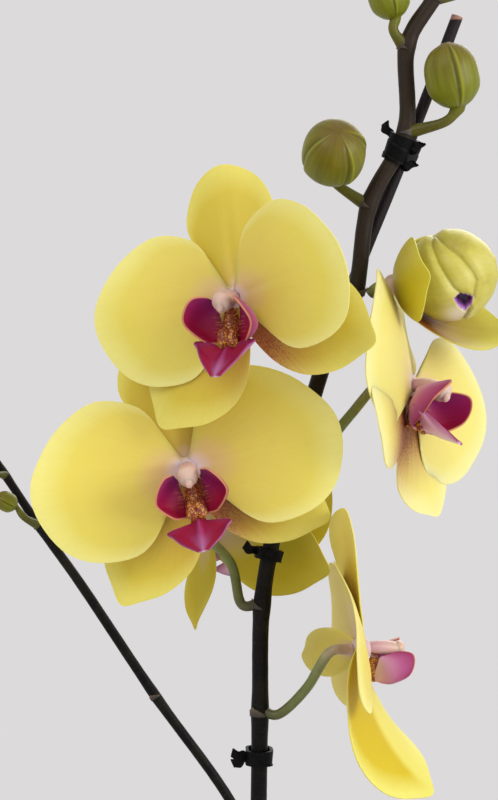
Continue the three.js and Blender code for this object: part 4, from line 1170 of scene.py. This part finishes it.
# Borders of the lobes on the closed petals, in mm along the flower's axis and up.
LOBE = [(13, 13), (12.8, 9.6), (14.3, 4.1), (16.1, -0.3), (17.7, -3.6), (19.4, -5.3), (22.9, -6.6),
        (24.3, -2), (23.4, 0.6), (20.5, 5.3), (17.1, 8.7), (13.8, 13)]
PEEK = [(17.3, -6.2), (19.5, -5.2), (22.9, -6.7), (21.9, -8.7), (20, -9.9), (18.2, -8.3)]
HEM = [(21.9, -8.7), (20.6, -10.6), (18.5, -12.4), (16, -14.5)]


def border_distance(points, border, closed=True):
    """Distance of each point to a broken line, and whether it is inside a closed one."""
    corners = np.array(border + border[:1] if closed else border, float)
    best, inside = np.full(len(points), 1e9), np.zeros(len(points), bool)
    for a, b in zip(corners[:-1], corners[1:]):
        share = np.clip(((points - a) @ (b - a)) / np.dot(b - a, b - a), 0, 1)
        best = np.minimum(best, np.linalg.norm(points - a - share[:, None] * (b - a), axis=1))
        crosses = (a[1] > points[:, 1]) != (b[1] > points[:, 1])
        with np.errstate(divide="ignore", invalid="ignore"):
            at = a[0] + (points[:, 1] - a[1]) * (b[0] - a[0]) / (b[1] - a[1])
        inside ^= crosses & (points[:, 0] < at)
    return best, inside


print("borders of", len(LOBE), len(PEEK), "and", len(HEM), "points")

# %% The ball of closed petals
def petal_ball(rows=110, sides=170):
    """Closed petals: a ball whose lobes bulge between grooves and part at a small gap."""
    z, r = smooth_path(BALL_AXIS, rows).T
    points, faces, values = loft(vectors(0, 0.06 * z, z), r, sides)
    flat = points[:, [2, 1]]
    border, inner = border_distance(flat, LOBE)
    gap, open_part = border_distance(flat, PEEK)
    hem, _ = border_distance(flat, HEM, closed=False)
    below = (flat[:, 0] - 19) * 0.9 < (flat[:, 1] + 12)
    bulge = np.where(inner, 0.5, 0.9) * smoothstep(0, 2.6, border) - 0.6 * hump(border, 0.45)
    bulge = bulge + np.where(below, -0.4, 0.5) * np.exp(-hem / 1.6) - 0.6 * hump(hem, 0.3)
    bulge = np.where(open_part, -2.6 * smoothstep(0, 0.9, gap), bulge)
    core = vectors(0, 0.06 * points[:, 2], points[:, 2])
    points = points + unit(points - core) * bulge[:, None] * smoothstep(2.4, 7, points[:, 2])[:, None]
    cream = np.exp(-(((flat[:, 0] - 17.5) / 3.6) ** 2 + ((flat[:, 1] + 10.5) / 2.4) ** 2))
    # Painted shade in the creases along the seams and the hem, outside the gap.
    dark = np.maximum(hump(border, 0.3), hump(hem, 0.28)) * ~open_part
    # The violet of the lip in the gap, painted darker deeper in: painted shade.
    purple = open_part * smoothstep(0.0, 0.5, gap)
    values["tint"] = vectors(purple, cream, dark)
    return points, faces, values


def ball_wax():
    """Yellow-green wax with a cream hem, painted shade on the seams and a violet gap: a flower about to open.
    """
    material, node = new_material("waxy_closed_petals")
    tint = node("Attribute", out="Vector", attribute_name="tint")
    masks = node("SeparateXYZ", {0: tint}).node.outputs
    place = node("TexCoord", out="Object")
    # Green clouds of about 14 mm on the yellow, whose palest whitish patches are painted
    # highlights, and fine streaks along the petals.
    cloud = node("TexNoise", {"Vector": place, "Scale": 70.0, "Detail": 4.0})
    ground = node("ValToRGB", {0: cloud},
                  stops=[(0.3, "A99E3A"), (0.45, "C2B84C"), (0.6, "CCC468"), (0.75, "E2DCA6")])
    ring = node("Attribute", out="Vector", attribute_name="loft")
    streak = grown(node, ring, (2.0, 11.0, 11.0), Detail=3.0)
    streaked = toned(node, ground, streak, 0.97, 1.03)
    hemmed = node("Mix", {0: masks["Y"], 6: streaked, 7: "E4D9C4"}, **COLOUR)
    # Painted shade darkens the creases along the seams.
    seam = node("Math", {0: masks["Z"], 1: 0.3}, operation="MULTIPLY")
    lined = node("Mix", {0: seam, 6: hemmed, 7: "86782E"}, **COLOUR)
    # The lip's violet in the gap, with painted shade that darkens it deeper in.
    deep = node("ValToRGB", {0: masks["X"]}, stops=[(0.0, "B98AC4"), (0.4, "8E4A9C"), (1.0, "3A1840")])
    opened = node("Math", {0: masks["X"], 1: 0.02}, operation="GREATER_THAN")
    colour = node("Mix", {0: opened, 6: lined, 7: deep}, **COLOUR)
    coat(node, streak, 0.06, 0.0002, colour, 0.45, {
        "Subsurface Weight": 0.25, "Subsurface Radius": (1.0, 0.8, 0.25), "Subsurface Scale": 0.002})
    return material


def half_open_sepals():
    base = dict(edge=SEPAL_EDGE, lift=0, wave=0.5)
    near = dict(base, turn=180, reach=30, cup=0, bend=46, cross=0.3, wide=1.3)
    low = dict(base, turn=305, reach=42, cup=26, bend=64, cross=0.25, lift=-1, wide=1.2, blush=1)
    far = dict(base, turn=24, reach=30, cup=10, bend=70, cross=0.3, lift=-0.5)
    sepals = [tepal(pose, (seed, 0)) for seed, pose in enumerate((near, low, far), 3)]
    return [(shell, 0) for shell in (receptacle(), *sepals)]


place = flower_frame(HALF_OPEN)
piece("half_open_petals", [(petal_ball(), 0)], [ball_wax()], "petal_yellow", "half_open_petals", place=place)
piece("half_open_sepals", half_open_sepals(), [GREEN_WAX], "bud_green", "half_open_sepals", place=place)
print("half-open bloom at", HALF_OPEN["at"])

# %% Buds
EVEN = [(0.1, -1, 0), (0.9, 0.5, 0), (-0.9, 0.5, 0)]
# Spike, node, middle, axis, radius, length and the world directions of the seams.
BUDS = {
    "bud_1": (MAIN, 13, (25.1, -9, 563.2), (0.09, -0.89, 0.5), 9.4, 20.5,
              [(0.41, 0, -0.91), (1, 0, 0.12), (-0.9, 0, -0.4)]),
    "bud_2": (MAIN, 14, (60.2, -6.5, 586.4), (-0.22, -0.15, 1), 8, 19.5, EVEN),
    "bud_3": (MAIN, 15, (41.6, -2, 611.5), (-0.3, 0, 1), 6.2, 15.5, EVEN),
    "bud_4": (MAIN, 16, (66, 1, 621), (0.2, 0, 1), 4.8, 12, EVEN),
    "bud_5": (MAIN, 17, (54, 0, 633.5), (-0.3, 0, 1), 3.4, 9, EVEN),
    "spike2_bud_1": (SECOND, 9, (-82.5, 79.5, 455.5), (-0.8, -0.3, 0.45), 3.4, 8, EVEN),
    "spike2_bud_2": (SECOND, 10, (-89.5, 79, 468.5), (-0.7, -0.4, 0.7), 3, 8, EVEN),
    "spike2_bud_3": (SECOND, 11, (-94, 78, 496), (0.3, -0.3, 1), 2.6, 7, EVEN)}
BUD_PROFILE = [(0, 0.26), (0.08, 0.6), (0.25, 0.93), (0.48, 1), (0.72, 0.92), (0.9, 0.62), (1, 0.14)]
NECK_STEPS, BODY_STEPS, BUD_SIDES = 22, 60, 120
GROOVE_DEPTH, EDGE_STEP = 0.06, 0.05  # as shares of a bud's radius


def seamed(angles, weights, seams):
    """A loft's ring factors: at each seam angle a groove and one raised edge, and their masks."""
    form, ridge, groove = np.ones_like(angles), np.zeros_like(angles), np.zeros_like(angles)
    for seam in seams:
        turn = (angles - seam + np.pi) % (2 * np.pi) - np.pi
        edge = np.exp(-np.clip(turn, 0, None) / 0.35) * smoothstep(-0.03, 0.03, turn)
        gap = hump(turn + 0.06, 0.075)
        form, groove = form + EDGE_STEP * edge - GROOVE_DEPTH * gap, np.maximum(groove, gap)
        ridge = np.maximum(ridge, hump(turn - 0.075, 0.055))
    weights = np.asarray(weights)[:, None]
    return 1 + weights * (form - 1), weights * ridge, weights * groove


def bud_shell(spike, node, mid, axis, radius, length, seams):
    """A bud and its short stalk in one loft."""
    up = unit(np.array(axis, float))
    foot = np.array(mid, float) - up * length / 2
    start, away = leaving(spike, node, foot)
    span = np.linalg.norm(foot - start - 0.2 * away)
    bend = lerp(start, foot, 0.5) + away * (0.12 * span + 1.5 * smoothstep(8, 22, span))
    share = np.linspace(0, 1, NECK_STEPS, endpoint=False)
    stalk = smooth_path([start - SUNK * away, bend, foot], share)
    slim = min(STALK_RADIUS, radius * 0.35)
    neck = lerp(slim, BUD_PROFILE[0][1] * radius, smoothstep(0.66, 1, share)) + 0.5 * hump(share, 0.25)
    body = smooth_path(BUD_PROFILE, BODY_STEPS)
    centres = np.concatenate([stalk, foot + np.outer(body[:, 0] * length, up)])
    radii = np.concatenate([neck, body[:, 1] * radius])
    fading = np.minimum(1, 1.6 * np.sin(np.pi * np.linspace(0.03, 0.97, BODY_STEPS)))
    normals, binormals = ring_frames(centres)
    where = [math.atan2(np.dot(way, binormals[-1]), np.dot(way, normals[-1])) for way in seams]
    form, ridge, groove = seamed(full_turn(BUD_SIDES), np.concatenate([0 * share, fading]), where)
    points, faces, values = loft(centres, radii, BUD_SIDES, form)
    # The stalk takes the first fifth of the mark along the loft, whatever its length.
    row = values["loft"][:, 0] * (len(centres) - 1)
    on_body = 0.2 + 0.8 * (row - NECK_STEPS) / BODY_STEPS
    values["loft"][:, 0] = np.where(row < NECK_STEPS, 0.2 * row / NECK_STEPS, on_body)
    # The groove mask carries painted shade into the grooves between the sepals.
    values["seam"] = vectors(ridge.ravel(), groove.ravel(), 0)
    return points, faces, values


def bud_skin():
    """Olive wax, brownish at the tip, with pale sepal edges: firm, closed and a little shiny."""
    material, node = new_material("waxy_closed_bud")
    ring = node("Attribute", out="Vector", attribute_name="loft")
    seam = node("Attribute", out="Vector", attribute_name="seam")
    along = node("SeparateXYZ", {0: ring}, out="X")
    masks = node("SeparateXYZ", {0: seam}).node.outputs
    place = node("TexCoord", out="Object")
    cloud = node("TexNoise", {"Vector": place, "Scale": 110.0, "Detail": 3.0})  # 9 mm clouds
    colour = node("ValToRGB", {0: wavering(node, along, cloud, 0.3)}, stops=[
        (0.0, "4E4A10"), (0.2, "6A6A14"), (0.4, "747910"),
        (0.65, "767513"), (0.85, "706418"), (1.0, "6A581C")])
    # Lengthwise streaks, about 1.5 mm wide on the largest bud.
    streak = grown(node, ring, (2.5, 6.0, 6.0), Detail=4.0)
    streaked = toned(node, colour, streak, 0.8, 1.16)
    pale = node("Math", {0: masks["X"], 1: 0.6}, operation="MULTIPLY")
    edged = node("Mix", {0: pale, 6: streaked, 7: "A0A22C"}, **COLOUR)
    # Painted shade darkens the grooves between the sepals.
    deep = node("Math", {0: masks["Y"], 1: 0.6}, operation="MULTIPLY")
    lined = node("Mix", {0: deep, 6: edged, 7: "444513"}, **COLOUR)
    coat(node, streak, 0.2, 0.0003, lined, 0.42, {
        "Specular IOR Level": 0.28, "Subsurface Weight": 0.15, "Subsurface Scale": 0.002})
    return material


BUD_SKIN = bud_skin()
for name, spec in BUDS.items():
    piece(name, [(bud_shell(*spec), 0)], [BUD_SKIN], "bud_green", name)
print(len(BUDS), "closed buds")

# %% [markdown]
# ## Ties
#
# Black tape binds the spike to its stake at three heights. Wound tape shows its turns as
# low ridges that climb a little, and its torn ends stand off in points. The band is a
# ring with the outline of the two stems together; the torn ends are small wavy blades.

# %% Tape finish and bands
BAND_HOLE = MAIN["radius"] + 0.75  # the radius inside a band, which clears the spike's skin
BAND_THICK, TURN_STEP = 0.8, 0.22
BAND_COLUMNS, BAND_ROWS, CORE_ROWS = 72, 33, 5


def crinkled_tape():
    """Nearly black, softly shining and slightly crinkled, so the bands stay quiet on the dark spike."""
    material, node = new_material("crinkled_black_tape")
    place = node("TexCoord", out="Object")
    crinkle = node("TexNoise", {"Vector": place, "Scale": 900.0, "Detail": 5.0})
    colour = node("ValToRGB", {0: crinkle}, stops=[(0.3, "050507"), (0.6, "0A0A0C"), (0.85, "161619")])
    coat(node, crinkle, 0.3, 0.0002, colour, 0.5, {"Specular IOR Level": 0.09})
    return material


def crossing(points, height, steps=4001):
    """Where a path crosses a height, and which way it runs there."""
    path = smooth_path(np.array(points, float)[:, :3], steps)
    near = int(np.abs(path[:, 2] - height).argmin())
    return path[near], unit(path[min(near + 4, steps - 1)] - path[near - 4])


def stadium(angles, spread, radius):
    """Points of the outline round two circles set apart by spread along y."""
    x, y = radius * np.cos(angles), radius * np.sin(angles)
    apart = np.sign(np.sin(angles)) * spread / 2 * smoothstep(0.0, 0.22, np.abs(np.sin(angles)))
    return vectors(x, y + apart)


def tape_band(spread, wide, turns):
    """A closed band: its wound outside from the bottom up, then its plain inside back down."""
    angles = full_turn(BAND_COLUMNS)
    circle = vectors(np.cos(angles), np.sin(angles))
    rings = []
    for z in np.linspace(-0.5, 0.5, BAND_ROWS):
        climb = ((z + 0.5) * turns + angles / (2 * np.pi)) % 1.0
        outer = BAND_HOLE + BAND_THICK + TURN_STEP * climb + 0.04 * np.sin(5 * angles + 4 * z)
        flat = outer[:, None] * circle + stadium(angles, spread, 1.0) - circle
        rings.append(vectors(flat[:, 0], flat[:, 1], z * wide))
    core = stadium(angles, spread, BAND_HOLE)
    for z in np.linspace(0.5, -0.5, CORE_ROWS):
        rings.append(vectors(core[:, 0], core[:, 1], z * wide))
    count = len(rings)
    row, column = np.meshgrid(np.arange(count), np.arange(BAND_COLUMNS), indexing="ij")
    start, after, beside = row * BAND_COLUMNS, (row + 1) % count * BAND_COLUMNS, (column + 1) % BAND_COLUMNS
    faces = vectors(start + column, start + beside, after + beside, after + column).reshape(-1, 4)
    return outward(np.concatenate(rings), faces.tolist(), {})


def torn_flap(x, z, turn, spread, long=5.6, tall=2.8):
    """A torn end of tape, turned by some degrees about y."""
    u = np.linspace(-1, 1, 15)[:, None]
    v = np.linspace(-1, 1, 9)[None, :]
    narrow = np.clip(1.02 - np.clip(u, 0, 1) ** 1.3, 0.06, 1)
    middle = vectors(long / 2 * u, 0.45 * np.sin(3 * u + v), tall / 2 * v * narrow + 0.35 * np.sin(5 * u))
    c, k = math.cos(math.radians(turn)), math.sin(math.radians(turn))
    turned = middle @ np.array([[c, 0, k], [0, 1, 0], [-k, 0, c]]).T
    return blade(turned + np.array([x, -spread / 2, z]), 0.4, {})


def tie(name, height, wide, turns, flaps):
    """A band round spike and stake with its torn ends, each given by x, z and a turn."""
    on_spike, along = crossing(SPIKE, height)
    on_stake, _ = crossing(STAKE, height)
    apart = on_stake - on_spike
    spread = np.linalg.norm(apart)
    y = apart / spread
    z = unit(along - y * np.dot(along, y))
    place = np.eye(4)
    place[:3, :3] = np.stack([np.cross(y, z), y, z], 1)
    place[:3, 3] = (on_spike + on_stake) / 2
    shells = [(tape_band(spread, wide, turns), 0)] + [(torn_flap(*flap, spread), 0) for flap in flaps]
    return piece(name, shells, [TAPE], "tie_black", name, place=place)


TAPE = crinkled_tape()
tie("tie_top", 565.4, 8, 2, [(-5.4, 3.6, 40), (5.4, 2.4, -50), (5.2, -3.4, -30)])
tie("tie_middle", 443.6, 3.2, 1, [(-5.4, 0.4, 20)])
tie("tie_low", 382.8, 4.4, 1, [(-5.6, 0.6, 10), (-5.4, -1, -25)])
print("three ties")

# %% [markdown]
# ## Leaves and crown
#
# The leaves are thick straps that arch up from the crown and then over, folded along
# the midrib like a shallow gutter near the base and nearly flat at the tip. They are
# dark green, leathery and quite glossy, with a paler midrib groove. A blade with
# varying thickness gives the rounded, fleshy edge.

# %% Leaf finish
def leaf_leather():
    """Dark green leather with a low gloss and a pale midrib: heavy and cool below the flowers."""
    material, node = new_material("leathery_leaf")
    grid = node("Attribute", out="Vector", attribute_name="blade")
    side = node("Attribute", out="Fac", attribute_name="face")
    parts = node("SeparateXYZ", {0: grid}).node.outputs
    place = node("TexCoord", out="Object")
    mottle = node("TexNoise", {"Vector": place, "Scale": 60.0, "Detail": 5.0})
    colour = node("ValToRGB", {0: mottle}, stops=[(0.3, "27481E"), (0.55, "355D27"), (0.8, "4A7433")])
    streak = grown(node, grid, (4.0, 36.0, 1.0), Detail=4.0)
    streaked = toned(node, colour, streak, 0.82, 1.15)
    off = node("Math", {0: parts["Y"]}, operation="ABSOLUTE")
    rib = node("MapRange", {0: off, 1: 0.045, 2: 0.0, 4: 0.5})
    ribbed = node("Mix", {0: rib, 6: streaked, 7: "6C9048"}, **COLOUR)
    both = node("Mix", {0: side, 6: "5C7B45", 7: ribbed}, **COLOUR)
    coat(node, streak, 0.15, 0.0006, both, 0.34, {"Subsurface Weight": 0.05, "Subsurface Scale": 0.003})
    return material


LEAF_LEATHER = leaf_leather()
print("leaf finish:", LEAF_LEATHER.name)

# %% Leaves and crown
LEAF_THICK = 2.4
CROWN = [(84, 7), (96, 8.5), (120, 8.5), (140, 6.4), (147, 4.4)]  # height and radius
# Heading in degrees, length, half width, height of the base, and slope at base and tip.
LEAVES = {
    "leaf_1": (4, 225, 40, 114, 22, -52), "leaf_2": (183, 232, 41, 117, 24, -48),
    "leaf_3": (-8, 200, 38, 123, 42, -30), "leaf_4": (172, 195, 37, 126, 45, -26),
    "leaf_5": (8, 160, 31, 133, 60, -8), "leaf_6": (186, 120, 23, 136, 66, 20)}
LEAF_WIDTH = [(0, 0.2), (0.12, 0.36), (0.35, 0.82), (0.6, 1), (0.82, 0.82), (0.95, 0.42), (1, 0.08)]


def leaf_shell(heading, length, half, base, rise, droop, rows=90, columns=41):
    crown_radius = np.interp(base, *zip(*CROWN))
    start = crown_radius + GAP + LEAF_THICK / 2 * math.sin(math.radians(rise)) + RELIEF_ROOM
    outline = smooth_path(LEAF_WIDTH, rows)
    s, w = outline[:, :1], outline[:, 1:]
    t = np.linspace(-1, 1, columns)[None, :]
    out, up = midrib(s, length, math.radians(rise), math.radians(droop - rise))
    lean = np.radians(lerp(rise, droop, s))
    raised = 0.34 * half * w * np.abs(t) ** 1.4 * lerp(1.2, 0.45, s)
    raised = raised + 0.5 * np.sin(7 * s + 2.2 * t + heading) * np.abs(t) - 0.5 * hump(t * w * half, 1.6)
    middle = vectors(start + out - raised * np.sin(lean), half * w * t, base + up + raised * np.cos(lean))
    thick = LEAF_THICK * (0.45 + 0.55 * np.sqrt(np.clip(1 - np.abs(t) ** 3, 0, 1))) + 0 * s
    return blade(middle @ z_turn(heading).T, thick, {"blade": vectors(s, w * t, 0)}, towards=(0, 0, 1))


def crown_shell():
    z = np.linspace(CROWN[0][0], CROWN[-1][0], 90)
    r = np.interp(z, *zip(*CROWN)) + 0.35 * np.abs(np.sin((z - CROWN[0][0]) * 0.42))
    points, faces, values = loft(vectors(0, 0, z), r, 48)
    values["blade"] = vectors(values["loft"][:, 0], 0.4 + 0.3 * values["loft"][:, 1], 0)
    values["face"] = np.ones_like(points)
    return points, faces, values


for name, spec in LEAVES.items():
    piece(name, [(leaf_shell(*spec), 0)], [LEAF_LEATHER], "leaf_green", name)
piece("crown", [(crown_shell(), 0)], [LEAF_LEATHER], "leaf_green", "crown")
print(len(LEAVES), "leaves and the crown")

# %% [markdown]
# ## Bark
#
# Orchids grow in coarse bark. A dark bed fills the pot, and Geometry Nodes scatter
# chips over it: points spaced evenly on the bed, a small box on each with its own size
# and tilt, all realized and then pushed about by a noise that depends on the place, so
# that no two chips are alike. The bed leaves out the places where stems go in.

# %% Bark finish and chips
CHIP_TILT, CHIP_TURN = 0.55, 6.28  # in radians
DENSEST = 200000.0  # chips on a square metre, more than the spacing ever leaves


def rough_bark():
    """Fibrous brown that is light on its edges and dark in its cracks: a dry, coarse bed."""
    material, node = new_material("rough_pine_bark")
    place = node("TexCoord", out="Object")
    fibre = node("TexNoise", {"Vector": place, "Scale": 500.0, "Detail": 6.0})
    patch = node("TexNoise", {"Vector": place, "Scale": 90.0, "Detail": 3.0})
    mixed = node("Math", {0: fibre, 1: patch}, operation="ADD")
    mean = node("Math", {0: mixed, 1: 0.5}, operation="MULTIPLY")
    colour = node("ValToRGB", {0: mean},
                  stops=[(0.32, "2B1A11"), (0.48, "5A3A26"), (0.62, "7B5337"), (0.78, "9A7353")])
    coat(node, fibre, 0.7, 0.0006, colour, 0.85)
    return material


def chip_tree():
    tree, given = new_group("scattered_chips", "Chips", {
        "Bed": "Geometry", "Spacing": "Float", "Smallest": "Vector", "Largest": "Vector",
        "Roughness": "Float", "Seed": "Int", "Finish": "Material"})
    bed, spacing, seed = (given[name] for name in ("Bed", "Spacing", "Seed"))
    spots = add(tree, "GeometryNodeDistributePointsOnFaces",
                {"Mesh": bed, "Distance Min": spacing, "Density Max": DENSEST, "Seed": seed},
                distribute_method="POISSON")
    box = add(tree, "GeometryNodeMeshCube", {"Vertices X": 4, "Vertices Y": 4, "Vertices Z": 3})
    tilt = add(tree, "FunctionNodeRandomValue",
               {"Min": (-CHIP_TILT, -CHIP_TILT, 0.0), "Max": (CHIP_TILT, CHIP_TILT, CHIP_TURN), "Seed": seed},
               data_type="FLOAT_VECTOR")
    extent = add(tree, "FunctionNodeRandomValue",
                 {"Min": given["Smallest"], "Max": given["Largest"], "Seed": seed}, data_type="FLOAT_VECTOR")
    placed = add(tree, "GeometryNodeInstanceOnPoints",
                 {"Points": spots, "Instance": box, "Rotation": tilt, "Scale": extent})
    whole = add(tree, "GeometryNodeRealizeInstances", {"Geometry": placed})
    where = add(tree, "GeometryNodeInputPosition")
    lumps = add(tree, "ShaderNodeTexNoise", {"Vector": where, "Scale": 160.0, "Detail": 2.0}, out="Color")
    centred = add(tree, "ShaderNodeVectorMath", {0: lumps, 1: (0.5, 0.5, 0.5)}, operation="SUBTRACT")
    shift = add(tree, "ShaderNodeVectorMath", {0: centred, "Scale": given["Roughness"]}, operation="SCALE")
    rough = add(tree, "GeometryNodeSetPosition", {"Geometry": whole, "Offset": shift})
    coated = add(tree, "GeometryNodeSetMaterial", {"Geometry": rough, "Material": given["Finish"]})
    add(tree, "NodeGroupOutput", {"Chips": coated})
    return tree


CHIP_TREE = chip_tree()
print("chip tree inputs:", list(input_keys(CHIP_TREE)))

# %% The bark bed and its chips
# The x, y and radius of each hole in the bed, for the crown, the stems and the roots.
HOLES = [(0, 0, 12.5), (3, -13, 3.5), (-1, 13, 3), (11.7, 16.6, 3.5), (-32, -28, 3.5), (27, -35, 3.5),
         (-26, 35, 3.5)]
CLEARANCE = 3.5
BED_PROFILE = [(0.5, 6.5), (40.5, 6.5), (54.4, 96), (53.4, 98.5), (50, 100.4), (20, 101.2), (0.5, 101.2)]
CHIP_LAYERS = (("bark_chips_low", 100.5, 3), ("bark_chips_top", 103.0, 8))  # name, height and seed


def bed_surface(height, reach=51.0, step=2.0):
    """Small squares over the bed, without those near a stem."""
    ticks = np.arange(-reach, reach, step)
    points, faces = [], []
    for x in ticks:
        for y in ticks:
            mid_x, mid_y = x + step / 2, y + step / 2
            clear = all(math.hypot(mid_x - hx, mid_y - hy) > r + CLEARANCE for hx, hy, r in HOLES)
            if clear and math.hypot(mid_x, mid_y) < reach:
                faces.append(list(range(len(points), len(points) + 4)))
                corners = (x, y), (x + step, y), (x + step, y + step), (x, y + step)
                points += [(*corner, height) for corner in corners]
    return np.array(points, float), faces


BARK = rough_bark()
piece("bark_bed", [(lathe(BED_PROFILE, 96), 0)], [BARK], "bark_brown", "bark")
for name, height, seed in CHIP_LAYERS:
    points, faces = bed_surface(height)
    chips = dress(new_mesh(name, points * MM, faces, {}), CHIP_TREE, {
        "Spacing": 7.5 * MM, "Smallest": (0.007, 0.005, 0.0028), "Largest": (0.016, 0.011, 0.006),
        "Roughness": 0.004, "Seed": seed, "Finish": BARK})
    settle(chips, "bark_brown")
print("bark bed with", len(CHIP_LAYERS), "layers of chips")

# %% [markdown]
# ## Pot
#
# The photograph ends above the pot, so it gets a plain round one: off-white glazed
# ceramic with a band under the rim and an unglazed foot. It is turned from a profile
# with rounded corners, as a potter would; the glaze has a faint mottle, tiny iron
# specks and a wavy skin that shows in its gloss.

# %% Pot
POT_WALL, POT_SIDES = 4, 144


def rounded(profile, radius=1.0, steps=4):
    """Cuts each inner corner of a profile into a short curve."""
    points = [np.array(p, float) for p in profile]
    out = [points[0]]
    for before, corner, after in zip(points, points[1:], points[2:]):
        reach = min(radius, 0.45 * np.linalg.norm(before - corner), 0.45 * np.linalg.norm(after - corner))
        a, b = corner + unit(before - corner) * reach, corner + unit(after - corner) * reach
        for share in np.linspace(0, 1, steps):
            out.append((1 - share) ** 2 * a + 2 * share * (1 - share) * corner + share**2 * b)
    return out + [points[-1]]


def glazed_ceramic():
    """Smooth off-white glaze with tiny specks: a quiet, clean base that leaves the flower the show."""
    material, node = new_material("off_white_glazed_ceramic")
    place = node("TexCoord", out="Object")
    mottle = node("TexNoise", {"Vector": place, "Scale": 30.0, "Detail": 4.0})
    glaze = node("ValToRGB", {0: mottle}, stops=[(0.3, "D6D2C8"), (0.7, "E4E0D8")])
    dots = node("TexVoronoi", {"Vector": place, "Scale": 300.0})
    speck = node("MapRange", {0: dots, 1: 0.1, 2: 0.05, 4: 0.6})
    glazed = node("Mix", {0: speck, 6: glaze, 7: "8C7B66"}, **COLOUR)
    height = node("SeparateXYZ", {0: place}, out="Z")
    bare = node("MapRange", {0: height, 1: 0.0022, 2: 0.0016})
    colour = node("Mix", {0: bare, 6: glazed, 7: "B9A48C"}, **COLOUR)
    dull = node("MapRange", {0: bare, 3: 0.22, 4: 0.8})
    fine = node("TexNoise", {"Vector": place, "Scale": 160.0, "Detail": 2.0})
    coat(node, fine, 0.06, 0.001, colour, dull, {"IOR": 1.52, "Coat Weight": 0.4, "Coat Roughness": 0.12})
    return material


def pot_inner(z):
    """The radius of the pot's inside, parallel to its tapering outside."""
    return lerp(43, 62.5, z / 120) - POT_WALL


POT_PROFILE = [
    (0.4, 0), (41, 0), (43, 2), (59.9, 106), (62.5, 108), (62.5, 118), (61.1, 120), (59.5, 120),
    (pot_inner(118), 118), (pot_inner(6), 6), (0.4, 6)]
pot_rings = rounded(POT_PROFILE)
piece("pot", [(lathe(pot_rings, POT_SIDES), 0)], [glazed_ceramic()], "pot_ceramic", "pot")
print("pot:", len(pot_rings), "rings of", POT_SIDES, "points")
